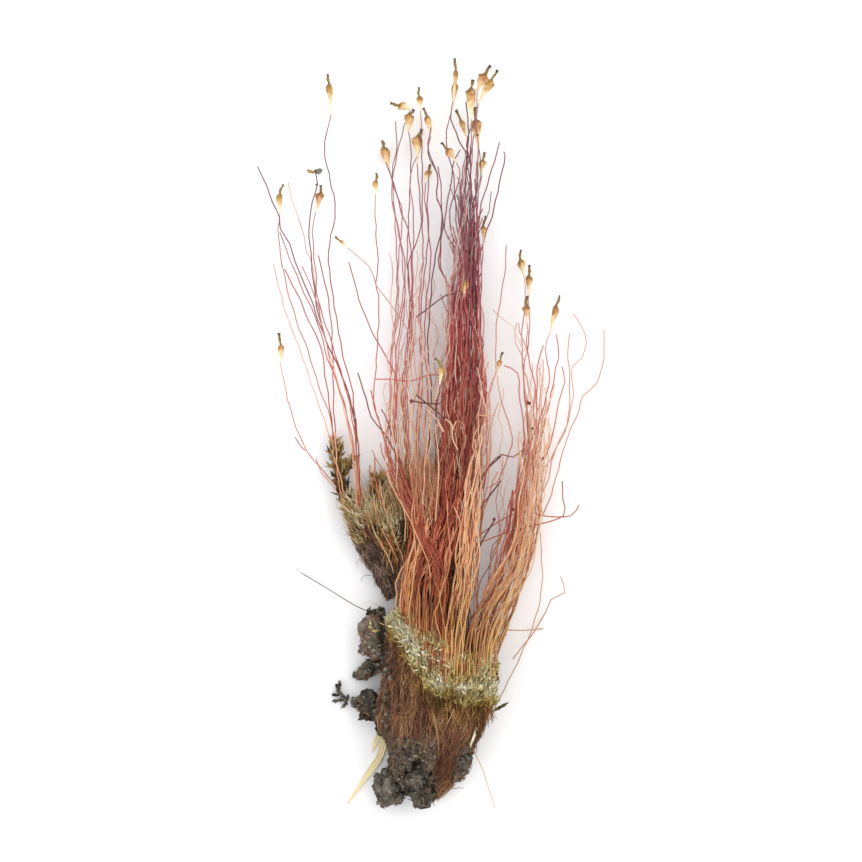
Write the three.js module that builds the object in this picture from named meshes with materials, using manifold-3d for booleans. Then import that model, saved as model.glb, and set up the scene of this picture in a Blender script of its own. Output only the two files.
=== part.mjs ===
// Cruet collar moss: one picked clump, dried and lying on its side.
// Millimetres, +Z up, +Y towards the tips of the stalks. The clump lies on z = 0, with the
// origin under the middle of its overall outline.
import * as THREE from 'three';
import { mergeVertices } from 'three/addons/utils/BufferGeometryUtils.js';
import Module from 'manifold-3d';

const wasm = await Module();
wasm.setup();

// Driving dimensions
const SETA_RADIUS = 0.37;
const SETA_SIDES = 3;
const STEP_LENGTH = 6.0;
const FOOT_Y = -25.3;
const TIP_Y = 43.4;
const FOOT_HEIGHT = 1.3;
const FOOT_SPACING = 1.15;
const TIP_HEIGHT = 0.74;
const TIP_SPACING = 1.25;
const ARCH = 0.7;
const WAVE = 0.22;
const URN_RADIUS = 0.36;
const NECK_RADIUS = 0.68;
const LEAF_THICKNESS = 0.62;
const GAP = 0.3;
const MAT_CROWN = 6.85;
const MAT_SIDE_FALL = 0.052;
const MAT_MIDDLE_X = 1.5;
const MAT_BACK_Y = -31.4;
const MAT_THICKNESS = 0.8;
const FELT_FRONT_Y = FOOT_Y - SETA_RADIUS - GAP;
const LEFT_FOOT_Y = -20.0;
const LEFT_FELT_FRONT_Y = LEFT_FOOT_Y - SETA_RADIUS - GAP;
const LEFT_FELT_SQUARENESS = 0.55;

// Colours
const RED = '#7d2a2c';
const DARK_RED = '#6b2029';
const BRICK = '#9a4a2c';
const PINK = '#a5605a';
const OLIVE = '#8f8650';
const PALE_LEAF = '#b6ad7d';
const FELT = '#6b4630';
const DARK_FELT = '#4a3024';
const DUNG = '#46413a';
const STRAW = '#e0cb8c';

function randomFrom(seed) {
  let state = seed;
  return () => {
    state = (state * 1664525 + 1013904223) % 4294967296;
    return state / 4294967296;
  };
}

function mix(a, b, t) {
  return a + (b - a) * t;
}

// Reads a value off a list of [position, value] pairs, straight between them.
function along(pairs, position) {
  if (position <= pairs[0][0]) return pairs[0][1];
  for (let i = 1; i < pairs.length; i += 1) {
    const [p0, v0] = pairs[i - 1];
    const [p1, v1] = pairs[i];
    if (position <= p1) return mix(v0, v1, (position - p0) / (p1 - p0));
  }
  return pairs[pairs.length - 1][1];
}

function toSolid(geometry) {
  const bare = geometry.clone();
  bare.deleteAttribute('normal');
  bare.deleteAttribute('uv');
  const merged = mergeVertices(bare, 1e-4);
  return new wasm.Manifold(new wasm.Mesh({
    numProp: 3,
    vertProperties: Float32Array.from(merged.attributes.position.array),
    triVerts: Uint32Array.from(merged.index.array),
  }));
}

function toGeometry(solid) {
  const mesh = solid.getMesh();
  const geometry = new THREE.BufferGeometry();
  geometry.setAttribute('position', new THREE.BufferAttribute(mesh.vertProperties, 3));
  geometry.setIndex(new THREE.BufferAttribute(mesh.triVerts, 1));
  return geometry;
}

function fuse(solids) {
  return solids.reduce((whole, next) => whole.add(next));
}

// Keeps the largest connected body and drops loose scraps and sealed hollows.
function oneBody(solid) {
  const bodies = solid.decompose();
  bodies.sort((a, b) => b.volume() - a.volume());
  return bodies[0];
}

function moveVertices(geometry, move) {
  const position = geometry.attributes.position;
  const point = new THREE.Vector3();
  for (let i = 0; i < position.count; i += 1) {
    point.fromBufferAttribute(position, i);
    move(point);
    position.setXYZ(i, point.x, point.y, point.z);
  }
  return geometry;
}

// A round stalk: a triangle swept along a smooth curve.
function stalk(points, radius = SETA_RADIUS, turn = 0) {
  const curve = new THREE.CatmullRomCurve3(points, false, 'centripetal');
  const section = new THREE.Shape();
  for (let i = 0; i < SETA_SIDES; i += 1) {
    const angle = turn + (i * 2 * Math.PI) / SETA_SIDES;
    const corner = [radius * Math.cos(angle), radius * Math.sin(angle)];
    if (i === 0) section.moveTo(...corner);
    else section.lineTo(...corner);
  }
  section.closePath();
  const steps = Math.max(2, Math.round(curve.getLength() / STEP_LENGTH));
  return toSolid(new THREE.ExtrudeGeometry(section, {
    steps,
    bevelEnabled: false,
    extrudePath: curve,
  }));
}

// A leaf: widest a third of the way up, drawn out to a fine point, root at `root`.
function leaf(root, direction, length, width, roll) {
  const blade = new THREE.SphereGeometry(1, 4, 3);
  moveVertices(blade, (p) => {
    const height = (p.y + 1) / 2;
    const belly = height > 0.5 ? 0.62 : 1.1;
    const station = height > 0.9 ? 1 : height > 0.5 ? 0.72 : height > 0.1 ? 0.3 : 0;
    p.x *= (width / 2) * belly;
    p.z *= (LEAF_THICKNESS / 2) * (height > 0.5 ? 0.85 : 1.18);
    p.y = station * length;
  });
  const turn = new THREE.Quaternion().setFromUnitVectors(
    new THREE.Vector3(0, 1, 0),
    direction.clone().normalize(),
  );
  blade.rotateY(roll);
  blade.applyQuaternion(turn);
  blade.translate(root.x, root.y, root.z);
  return toSolid(blade);
}

// A capsule: the swollen neck tapers down onto the seta, the narrow urn stands on top.
function capsule(base, direction, length, swell) {
  const neck = NECK_RADIUS * swell;
  const profile = [
    new THREE.Vector2(0, -0.5),
    new THREE.Vector2(SETA_RADIUS * 0.8, -0.4),
    new THREE.Vector2(neck * 0.72, length * 0.22),
    new THREE.Vector2(neck, length * 0.5),
    new THREE.Vector2(URN_RADIUS * 0.9, length * 0.66),
    new THREE.Vector2(URN_RADIUS, length),
    new THREE.Vector2(0, length),
  ];
  const body = new THREE.LatheGeometry(profile, 6);
  body.applyQuaternion(new THREE.Quaternion().setFromUnitVectors(
    new THREE.Vector3(0, 1, 0),
    direction.clone().normalize(),
  ));
  body.translate(base.x, base.y, base.z);
  return toSolid(body);
}

// Height of a layer of stalks: it leaves the clump, arches a little and sinks to the tips.
function layerHeight(layer, y) {
  const t = THREE.MathUtils.clamp((y - FOOT_Y) / (TIP_Y - FOOT_Y), 0, 1);
  const arch = ARCH * Math.sin(Math.PI * t ** 0.8);
  return mix(FOOT_HEIGHT + FOOT_SPACING * layer, TIP_HEIGHT + TIP_SPACING * layer, t) + arch;
}

// The sides of the three bunches that share the main clump, [y, x] from foot to top.
const LANES = {
  innerLeft: {
    left: [[-20, -3.9], [-15, -3.2], [-10, -3.1], [-5, -4.4], [0, -4.9], [5, -4.9],
      [10, -4.4], [15, -4.0], [20, -3.7]],
    right: [[-20, -1.9], [-15, -1.6], [-10, -0.9], [-5, -0.4], [0, -0.2], [5, -0.1],
      [10, -0.2], [15, -0.3], [20, -0.3]],
  },
  centre: {
    left: [[-25, -0.9], [-20, -1.0], [-15, -0.6], [-10, 0.2], [-5, 0.9], [0, 1.1], [5, 1.2],
      [10, 1.1], [15, 1.2], [20, 1.3]],
    right: [[-25, 3.4], [-20, 4.0], [-15, 4.5], [-10, 4.9], [-5, 5.2], [0, 5.6], [5, 6.1],
      [10, 6.0], [15, 5.7], [20, 5.6]],
  },
  right: {
    left: [[-25, 4.5], [-20, 5.4], [-15, 7.3], [-10, 9.0], [-5, 9.8], [0, 10.3], [5, 10.3]],
    right: [[-25, 7.3], [-20, 9.6], [-15, 11.3], [-10, 12.3], [-5, 12.6], [0, 13.3], [5, 13.7]],
  },
};

// A stalk that keeps its place across its bunch up to the first of its own upper points.
function laneRoute(bunch, lane, upper, phase) {
  const { left, right } = LANES[bunch];
  const top = upper[0][1] - 3;
  const route = left
    .map(([y]) => y)
    .filter((y) => y < top)
    .map((y) => {
      const sway = y > FOOT_Y + 4 ? WAVE * Math.sin(phase + 0.42 * y) : 0;
      return [mix(along(left, y), along(right, y), lane) + sway, y];
    });
  return route.concat(upper);
}

// The stalks, layer by layer from the surface up. Each has its lane and upper points, or a
// route of its own from foot to tip. A capsule is its length and how swollen it is.
const BUNCHES = [
  {
    name: 'setae_left_low',
    layer: 0,
    colour: PINK,
    stalks: [
      {
        route: [[-11.9, -4.6], [-13.2, -3.1], [-14.3, -1.6], [-15.5, 1.0], [-16.5, 4.3],
          [-17.2, 7.4], [-17.4, 9.6]],
        capsule: [2.4, 0.8],
      },
      { route: [[-13.2, -3.1], [-14.6, -1.5], [-15.5, -0.5], [-15.7, 0.3]] },
    ],
  },
  {
    name: 'setae_left_outer',
    layer: 0,
    colour: PINK,
    foot: [[-11.8, 0.4], [-10.7, 0.4]],
    stalks: [
      {
        route: [[-11.6, 0.6], [-12.9, 3.4], [-14.0, 6.7], [-15.4, 10.8], [-16.9, 14.9],
          [-18.2, 20.0]],
      },
      {
        route: [[-11.2, 0.4], [-11.7, 2.6], [-13.2, 7.0], [-15.2, 12.6], [-16.9, 17.4],
          [-17.4, 21.5], [-17.6, 24.5], [-17.5, 27.0]],
        capsule: [2.4, 0.9],
      },
      {
        route: [[-11.1, 0.4], [-11.4, 3.0], [-12.2, 6.6], [-12.8, 10.4], [-14.4, 13.8],
          [-15.9, 17.1], [-16.9, 19.4]],
      },
      {
        route: [[-10.8, 0.4], [-11.2, 4.0], [-11.3, 9.0], [-11.6, 14.0], [-12.5, 18.3],
          [-13.0, 21.2]],
      },
    ],
  },
  {
    name: 'setae_left_middle',
    layer: 1,
    colour: RED,
    foot: [[-8.7, -7.8], [-7.3, -7.8]],
    stalks: [
      {
        route: [[-8.0, -7.8], [-8.4, -3.5], [-8.5, 0.5], [-9.5, 4.9], [-11.0, 8.6], [-12.7, 12.6],
          [-14.4, 17.3], [-15.6, 20.8], [-17.2, 23.8], [-18.3, 27.0], [-19.1, 29.6],
          [-19.8, 31.2]],
      },
      {
        route: [[-7.6, -7.8], [-8.2, -4.0], [-7.5, 1.0], [-8.6, 4.6], [-10.0, 9.0],
          [-11.1, 14.0], [-11.8, 20.0], [-11.2, 24.3], [-11.1, 27.6], [-12.2, 32.4],
          [-11.7, 36.4], [-11.6, 37.6]],
        capsule: [4.0, 0.8],
      },
    ],
  },
  {
    name: 'setae_left_upper',
    layer: 2,
    colour: RED,
    foot: [[-8.9, -7.8], [-7.5, -7.8]],
    stalks: [
      {
        route: [[-8.4, -7.8], [-8.6, -3.0], [-8.9, 1.5], [-9.9, 6.3], [-11.5, 10.4],
          [-12.9, 14.6], [-13.6, 19.5], [-14.0, 24.0], [-13.7, 26.3], [-13.1, 28.6],
          [-13.4, 30.2]],
      },
      {
        route: [[-8.0, -7.8], [-8.3, -2.0], [-9.0, 3.6], [-10.6, 8.6], [-12.1, 13.2],
          [-12.9, 17.5], [-13.3, 21.5], [-13.4, 25.2], [-13.0, 26.8]],
        capsule: [2.6, 0.95],
      },
      {
        route: [[-8.6, -7.8], [-9.2, -1.5], [-9.4, 2.5], [-10.9, 7.4], [-13.1, 12.8],
          [-14.3, 20.6], [-15.0, 25.0], [-16.0, 27.8], [-16.5, 29.4]],
      },
    ],
  },
  {
    name: 'setae_inner_left_1',
    layer: 0,
    bunch: 'innerLeft',
    colour: BRICK,
    stalks: [
      { lane: 0.04, upper: [[-3.1, 24.0], [-3.2, 29.0], [-3.0, 33.5], [-2.7, 36.4]] },
      { lane: 0.4, upper: [[-1.2, 24.0], [-1.3, 29.0], [-1.5, 31.8]], capsule: [3.4, 0.95] },
      { lane: 0.78, upper: [[-0.3, 24.0], [-0.7, 27.4], [-0.5, 29.8]], capsule: [2.0, 0.9] },
    ],
  },
  {
    name: 'setae_inner_left_2',
    layer: 1,
    bunch: 'innerLeft',
    colour: BRICK,
    stalks: [
      { lane: 0.0, upper: [[-4.2, 26.0], [-4.4, 29.6], [-3.9, 33.5], [-4.1, 36.6]] },
      { lane: 0.36, upper: [[-2.6, 24.5], [-2.4, 29.0], [-2.3, 33.2]], capsule: [4.2, 1.0] },
      { lane: 0.72, upper: [[-1.0, 24.5], [-1.0, 30.0], [-1.1, 35.0], [-1.2, 37.4]], capsule: [2.9, 0.9] },
      { lane: 1.0, upper: [[0.3, 24.5], [-0.1, 29.0], [0.1, 33.8]], capsule: [3.4, 0.85] },
    ],
  },
  {
    name: 'setae_inner_left_3',
    layer: 2,
    bunch: 'innerLeft',
    colour: RED,
    stalks: [
      {
        route: [[-3.6, -20.0], [-2.9, -14.6], [-2.3, -9.5], [-3.9, -5.5],
          [-5.2, -1.2], [-6.4, 3.4], [-6.3, 9.0], [-6.0, 15.5], [-6.1, 20.6], [-6.4, 25.0],
          [-6.3, 27.0]],
        capsule: [3.0, 0.85],
      },
      { lane: 0.45, upper: [[-3.4, 25.6], [-4.3, 29.0], [-5.0, 31.3]], capsule: [3.0, 1.0] },
      { lane: 0.9, upper: [[-0.3, 24.0], [-0.4, 27.5], [-0.2, 30.4]] },
    ],
  },
  {
    name: 'setae_inner_left_4',
    layer: 3,
    bunch: 'innerLeft',
    colour: DARK_RED,
    stalks: [
      {
        route: [[-3.4, -20.0], [-1.8, -12.5], [-2.6, -6.5], [-4.2, -1.0],
          [-4.3, 4.0], [-4.1, 8.0], [-5.8, 10.4], [-7.6, 13.8], [-8.8, 17.5], [-9.4, 20.0]],
      },
      {
        route: [[-2.8, -20.0], [-2.1, -16.0], [-1.3, -10.5], [-3.1, -4.2], [-5.0, -0.1],
          [-6.8, 2.5], [-7.5, 5.0], [-8.4, 7.4]],
      },
      {
        route: [[-2.1, -20.0], [-1.7, -17.0], [-0.7, -9.0], [-0.9, 0.0], [-1.6, 6.0],
          [-2.0, 11.0], [-3.9, 14.2], [-6.2, 17.3], [-7.3, 19.8], [-9.6, 21.7]],
        capsule: [1.9, 0.55],
      },
    ],
  },
  {
    name: 'setae_centre_1',
    layer: 0,
    bunch: 'centre',
    colour: DARK_RED,
    stalks: [
      { lane: 0.1, upper: [[1.6, 24.0], [2.2, 28.6], [2.7, 32.0], [3.4, 33.2]] },
      { lane: 0.45, upper: [[3.4, 24.0], [3.6, 30.0], [4.4, 33.8]], capsule: [3.7, 0.75] },
      { lane: 0.78, upper: [[5.3, 24.0], [5.4, 27.5], [5.8, 30.6]], capsule: [2.3, 0.85] },
      { lane: 1.0, upper: [[6.4, 24.0], [7.2, 27.4], [8.3, 31.0], [8.4, 33.2]] },
    ],
  },
  {
    name: 'setae_centre_2',
    layer: 1,
    bunch: 'centre',
    colour: DARK_RED,
    stalks: [
      { lane: 0.0, upper: [[1.4, 24.0], [1.2, 28.0], [0.8, 31.2]] },
      { lane: 0.36, upper: [[3.0, 24.0], [2.9, 29.5], [2.0, 34.8], [2.5, 39.0]], capsule: [4.5, 0.75] },
      { lane: 0.68, upper: [[4.6, 24.5], [4.3, 30.5], [4.9, 36.2], [5.5, 38.4]], capsule: [4.3, 1.0] },
      { lane: 0.97, upper: [[5.8, 25.5], [6.6, 29.3], [7.3, 31.7], [7.9, 34.0]] },
    ],
  },
  {
    name: 'setae_centre_3',
    layer: 2,
    bunch: 'centre',
    colour: DARK_RED,
    stalks: [
      { lane: 0.12, upper: [[2.1, 24.0], [2.0, 27.0], [3.3, 30.6], [2.9, 31.4]], capsule: [3.0, 0.9] },
      { lane: 0.45, upper: [[3.8, 25.0], [4.1, 31.0], [4.1, 36.0], [4.0, 38.6]] },
      { lane: 0.75, upper: [[5.2, 25.0], [5.2, 30.0], [5.5, 33.2]], capsule: [4.6, 0.9] },
      { lane: 1.0, upper: [[5.9, 20.6], [6.2, 22.6]], capsule: [3.0, 0.8] },
    ],
  },
  {
    name: 'setae_centre_4',
    layer: 3,
    bunch: 'centre',
    colour: DARK_RED,
    stalks: [
      { lane: 0.02, upper: [[1.3, 23.0], [1.3, 25.2], [1.9, 26.6], [2.2, 28.4]] },
      { lane: 0.38, upper: [[3.4, 24.0], [3.8, 30.0], [2.8, 34.2], [2.3, 37.0]], capsule: [4.2, 0.85] },
      { lane: 0.68, upper: [[4.6, 24.0], [4.5, 31.0], [4.6, 35.0], [4.6, 36.8]], capsule: [4.1, 1.05] },
      { lane: 0.95, upper: [[5.2, 25.0], [5.4, 32.0], [5.5, 36.5], [5.9, 38.9]], capsule: [3.7, 0.9] },
    ],
  },
  {
    name: 'setae_centre_5',
    layer: 4,
    bunch: 'centre',
    colour: DARK_RED,
    stalks: [
      { lane: 0.1, upper: [[2.4, 15.0], [3.5, 19.0], [2.5, 24.0]] },
      { lane: 0.38, upper: [[3.8, 13.2], [3.8, 15.2]], capsule: [4.1, 0.8] },
      { lane: 0.62, upper: [[4.6, 22.0], [4.9, 26.0], [4.2, 30.8]] },
      { lane: 0.9, upper: [[5.5, 22.0], [5.2, 26.0], [5.0, 29.5]] },
    ],
  },
  {
    name: 'setae_right_1',
    layer: 0,
    bunch: 'right',
    colour: BRICK,
    stalks: [
      {
        lane: 0.98,
        upper: [[14.6, -1.0], [15.7, 1.5], [15.7, 5.0], [16.0, 8.0], [15.8, 11.0], [16.4, 14.4]],
      },
      { lane: 0.62, upper: [[12.3, 8.0], [13.0, 10.6]] },
      { lane: 0.2, upper: [[10.5, 7.0], [10.4, 11.0], [11.0, 14.0], [10.7, 18.6]], capsule: [3.0, 0.85] },
      {
        route: [[7.6, -25.3], [10.4, -24.6], [11.9, -21.5], [12.8, -17.0], [12.9, -12.6],
          [12.6, -10.4]],
      },
    ],
  },
  {
    name: 'setae_right_2',
    layer: 1,
    bunch: 'right',
    colour: BRICK,
    stalks: [
      {
        lane: 0.96,
        upper: [[15.0, -2.0], [15.8, 0.4], [16.9, 3.0], [17.7, 4.8], [19.0, 6.3], [19.6, 9.0],
          [19.7, 12.4]],
      },
      { lane: 0.6, upper: [[12.6, 7.0], [13.2, 10.0], [13.8, 13.2]], capsule: [3.3, 0.95] },
      { lane: 0.22, upper: [[10.6, 7.0], [11.3, 11.5], [11.2, 16.2]], capsule: [3.6, 0.95] },
      { route: [[7.4, -25.3], [10.6, -23.4], [13.0, -20.4], [13.9, -18.7], [15.3, -17.9], [14.9, -16.0]] },
    ],
  },
  {
    name: 'setae_right_3',
    layer: 2,
    bunch: 'right',
    colour: RED,
    stalks: [
      {
        lane: 0.95,
        upper: [[14.1, 2.0], [14.7, 5.0], [15.2, 7.0], [14.6, 9.6], [14.4, 11.9]],
      },
      { lane: 0.5, upper: [[11.7, 6.0], [12.0, 9.5], [11.0, 12.8]], capsule: [3.4, 0.95] },
      { lane: 0.1, upper: [[10.2, 4.0], [9.9, 7.3], [8.3, 8.2]] },
    ],
  },
  {
    name: 'setae_right_4',
    layer: 3,
    bunch: 'right',
    colour: PINK,
    stalks: [
      {
        route: [[5.0, -25.3], [5.6, -18.0], [6.4, -9.0], [8.6, -3.8], [9.2, 0.4], [8.0, 4.0],
          [7.7, 7.0]],
        capsule: [2.5, 0.75],
      },
      {
        route: [[4.8, -25.3], [5.1, -16.0], [5.9, -9.0], [6.9, -3.0], [6.8, 4.6], [7.3, 8.6],
          [7.6, 13.0], [8.3, 18.0], [8.6, 22.0]],
      },
      { lane: 0.2, upper: [[10.4, 3.0], [10.6, 5.5]] },
      { lane: 0.6, upper: [[11.8, 2.0], [13.6, 1.6]] },
    ],
  },
];

function bunchSolid(bunch, index) {
  const solids = [];
  const feet = [];
  bunch.stalks.forEach((one, i) => {
    const phase = 1.7 * index + 0.25 * i;
    const route = one.route ?? laneRoute(bunch.bunch, one.lane, one.upper, phase);
    const points = route.map(([x, y]) => new THREE.Vector3(x, y, layerHeight(bunch.layer, y)));
    feet.push(points[0]);
    solids.push(stalk(points, SETA_RADIUS, 0.5 * i));
    if (one.capsule) {
      const end = points[points.length - 1];
      const heading = end.clone().sub(points[points.length - 2]);
      solids.push(capsule(end, heading, ...one.capsule));
    }
  });
  const foot = bunch.foot
    ? bunch.foot.map(([x, y]) => new THREE.Vector3(x, y, layerHeight(bunch.layer, y)))
    : [feet[0], feet[feet.length - 1]];
  if (bunch.bunch || bunch.foot) {
    const xs = feet.map((p) => p.x).concat(foot.map((p) => p.x));
    const y = foot[0].y;
    const z = foot[0].z;
    const from = new THREE.Vector3(Math.min(...xs) - 0.2, y, z);
    const to = new THREE.Vector3(Math.max(...xs) + 0.2, y, z);
    const middle = from.clone().add(to).multiplyScalar(0.5);
    middle.y += 0.3;
    solids.push(stalk([from, middle, to], SETA_RADIUS * 1.05));
  }
  return fuse(solids);
}

// Dung and soil lumps: rough stones with a flat underside on the surface.
function crumbled(p) {
  return 0.5 * Math.sin(1.9 * p.x + 0.4) * Math.sin(2.3 * p.y + 1.1) * Math.sin(1.7 * p.z + 0.7)
    + 0.3 * Math.sin(3.7 * p.x + 1.9 * p.y) * Math.sin(3.1 * p.z + 2.2 * p.y + 0.5);
}

function lump({ centre, size, turn, detail }, grow = 0) {
  const stone = new THREE.IcosahedronGeometry(1, detail);
  const [x, y, z] = centre;
  moveVertices(stone, (p) => {
    const normal = p.clone();
    p.set(p.x * size[0], p.y * size[1], p.z * size[2]);
    p.applyAxisAngle(new THREE.Vector3(0, 0, 1), turn);
    normal.applyAxisAngle(new THREE.Vector3(0, 0, 1), turn);
    p.add(new THREE.Vector3(x, y, z));
    p.addScaledVector(normal, 0.75 * crumbled(p) + grow);
    p.z = Math.max(p.z, grow > 0 ? -1 : 0);
  });
  return toSolid(stone);
}

const LUMPS = {
  dung_foot_left: { centre: [-4.85, -40.2, 2.2], size: [1.7, 2.1, 2.4], turn: 0.3, detail: 2 },
  dung_foot_middle: { centre: [-1.3, -38.7, 3.7], size: [1.8, 3.2, 3.5], turn: 0.1, detail: 2 },
  dung_foot_right: { centre: [3.4, -37.4, 2.6], size: [1.2, 2.4, 2.8], turn: -0.35, detail: 2 },
  dung_side_upper: { centre: [-6.7, -22.9, 2.4], size: [1.5, 2.7, 2.4], turn: -0.1, detail: 2 },
  dung_side_middle: { centre: [-7.3, -26.9, 1.2], size: [1.6, 0.9, 1.2], turn: 0.5, detail: 2 },
  dung_side_lower: { centre: [-6.7, -31.3, 1.8], size: [2.1, 1.5, 1.9], turn: -0.3, detail: 2 },
  dung_crumb: { centre: [-10.3, -30.0, 0.6], size: [0.8, 1.3, 0.8], turn: 0.2, detail: 2 },
};

// Rhizoid felt of the main clump: sections across it, [y, value] from the foot to the front.
const FELT_LEFT = [[-41.9, -1.6], [-41.0, -3.6], [-39.0, -5.0], [-36.5, -4.8], [-34.5, -5.0],
  [-32.5, -6.2], [-30.0, -6.2], [-28.0, -5.9], [-26.0, -5.4]];
const FELT_RIGHT = [[-41.9, 0.4], [-41.0, 1.6], [-39.0, 3.2], [-36.5, 4.7], [-34.5, 5.3],
  [-32.5, 6.9], [-30.0, 7.9], [-28.0, 7.9], [-26.0, 7.7]];
const FELT_TOP = [[-41.9, 3.0], [-41.0, 4.6], [-39.0, 6.4], [-36.5, 7.6], [-34.5, 8.3],
  [-32.5, 8.2], [-31.0, 7.2], [-28.0, 6.6], [-26.0, 6.2]];

function matUnderside(x) {
  return MAT_CROWN - MAT_SIDE_FALL * (x - MAT_MIDDLE_X) ** 2;
}

// On the left the felt reaches further forward, up to the feet of the inner left stalks:
// its sides and its top, [y, value] from the foot to the front.
const LEFT_FELT_LEFT = [[-27.0, -5.6], [-24.0, -5.3], [-22.0, -5.0], [-20.6, -4.4]];
const LEFT_FELT_RIGHT = [[-27.0, -1.9], [-24.0, -1.9], [-22.0, -1.95], [-20.6, -2.1]];
const LEFT_FELT_TOP = [[-27.0, 6.3], [-24.0, 5.7], [-20.6, 5.1]];

// A point of the felt's skin at y, turned by angle from the right side over the top.
function feltPoint(angle, y, reach) {
  const left = along(FELT_LEFT, y);
  const right = along(FELT_RIGHT, y);
  const top = along(FELT_TOP, y);
  const middle = top * 0.42;
  const x = (left + right) / 2 + ((right - left) / 2) * reach * Math.cos(angle);
  const rise = Math.sin(angle) > 0 ? top - middle : middle * 1.5;
  let z = Math.max(0, middle + rise * reach * Math.sin(angle));
  if (y > MAT_BACK_Y) z = Math.min(z, matUnderside(x) - GAP);
  return new THREE.Vector3(x, y, z);
}

function leftFelt() {
  const felt = new THREE.CylinderGeometry(1, 1, 1, 14, 4);
  moveVertices(felt, (p) => {
    const y = mix(LEFT_FELT_LEFT[0][0], LEFT_FELT_FRONT_Y, p.y + 0.5);
    const left = along(LEFT_FELT_LEFT, y);
    const right = along(LEFT_FELT_RIGHT, y);
    const top = along(LEFT_FELT_TOP, y);
    const angle = Math.atan2(p.z, p.x);
    const reach = Math.hypot(p.x, p.z);
    const corner = 1 / Math.max(Math.abs(Math.cos(angle)), Math.abs(Math.sin(angle)));
    const bulge = reach * mix(1, corner, LEFT_FELT_SQUARENESS);
    const across = THREE.MathUtils.clamp(bulge * Math.cos(angle), -1, 1);
    const up = THREE.MathUtils.clamp(bulge * Math.sin(angle), -1, 1);
    const x = (left + right) / 2 + ((right - left) / 2) * across;
    const z = (top / 2) * (1 + up);
    p.set(x, y, Math.min(z, matUnderside(x) - GAP));
  });
  return toSolid(felt);
}

function feltSolid() {
  const back = FELT_LEFT[0][0];
  const felt = new THREE.CylinderGeometry(1, 1, 1, 24, 11);
  moveVertices(felt, (p) => {
    const y = mix(back, FELT_FRONT_Y, p.y + 0.5);
    const angle = Math.atan2(p.z, p.x);
    const combed = 1 + 0.05 * Math.sin(6 * angle + 0.5 * y) + 0.03 * Math.sin(4 * angle - 0.8 * y);
    p.copy(feltPoint(angle, y, Math.hypot(p.x, p.z) * combed));
  });
  const strands = FELT_STRANDS.map(([turn, drift, from, to]) => {
    const points = [0, 0.35, 0.7, 1].map((t) => {
      const sway = 0.03 * Math.sin(5 * t + 20 * turn);
      const angle = Math.PI * (turn + drift * t + sway);
      return feltPoint(angle, mix(from, to, t), 1.0);
    });
    return stalk(points, 0.42);
  });
  const hair = stalk(FELT_HAIR.map((p) => new THREE.Vector3(...p)), SETA_RADIUS);
  let solid = fuse([toSolid(felt), leftFelt(), ...strands, hair]);
  Object.values(LUMPS).forEach((one) => {
    solid = solid.subtract(lump(one, GAP));
  });
  return solid;
}

// Strands of rhizoid combed down over the felt: [turn round it at the top, drift, from y, to y].
const FELT_STRANDS = [
  [0.06, 0.1, -29.0, -36.0],
  [0.16, 0.12, -31.5, -38.0],
  [0.27, 0.1, -31.8, -40.0],
  [0.36, 0.12, -31.8, -37.6],
  [0.46, 0.06, -32.0, -40.6],
  [0.55, 0.1, -31.6, -36.4],
  [0.63, -0.1, -28.4, -36.8],
  [0.72, -0.12, -29.8, -38.4],
  [0.8, -0.1, -27.4, -34.6],
  [0.9, -0.08, -28.6, -37.2],
];
const FELT_HAIR = [[3.0, -33.2, 7.4], [4.6, -35.4, 5.4], [5.9, -38.2, 2.6], [6.8, -41.0, 0.9],
  [7.5, -43.3, 0.4]];

// Leaves over the front of the felt, in a slanting band: [place along, x, y, half width].
const MAT_BAND = [[0, -4.6, -20.6, 0.9], [0.22, -2.2, -22.8, 1.6], [0.45, 0.2, -26.4, 2.7],
  [0.72, 3.6, -27.9, 2.7], [1, 7.3, -28.2, 2.2]];

function matPoint(t, across, height) {
  const read = (column) => along(MAT_BAND.map((row) => [row[0], row[column]]), t);
  const tilt = mix(0.75, 0, Math.min(1, t / 0.6));
  const half = read(3);
  const x = read(1) + across * half * Math.sin(tilt);
  const y = read(2) + across * half * Math.cos(tilt);
  return new THREE.Vector3(x, y, matUnderside(x) + height * MAT_THICKNESS);
}

function leafMat() {
  const random = randomFrom(11);
  const core = new THREE.BoxGeometry(1, 1, 1, 9, 3, 1);
  moveVertices(core, (p) => p.copy(matPoint(p.x + 0.5, p.y * 2, p.z + 0.5)));
  const solids = [toSolid(core)];
  const rows = 4;
  const columns = 16;
  for (let row = 0; row < rows; row += 1) {
    for (let column = 0; column < columns; column += 1) {
      const t = (column + 0.5 + 0.5 * (random() - 0.5)) / columns;
      const across = mix(-0.94, 0.94, (row + 0.5 + 0.4 * (random() - 0.5)) / rows);
      const root = matPoint(t, across, 0.5);
      const side = mix(-0.9, 0.9, t) + 0.5 * (random() - 0.5);
      const forward = mix(-0.15, 1.15, (across + 1) / 2) + 0.4 * (random() - 0.5);
      const up = mix(1.0, 0.55, Math.abs(across)) * mix(1, 0.5, Math.abs(t - 0.5) * 2);
      const direction = new THREE.Vector3(side, forward, up);
      const length = mix(2.1, 3.0, random());
      solids.push(leaf(root, direction, length, mix(1.05, 1.4, random()), random() * Math.PI));
    }
  }
  const darkTip = new THREE.Vector3(1.0, -1.3, -1.1);
  solids.push(leaf(matPoint(0.97, -0.8, 0.5), darkTip, 3.4, 1.5, 0.4));
  return fuse(solids);
}

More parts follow.
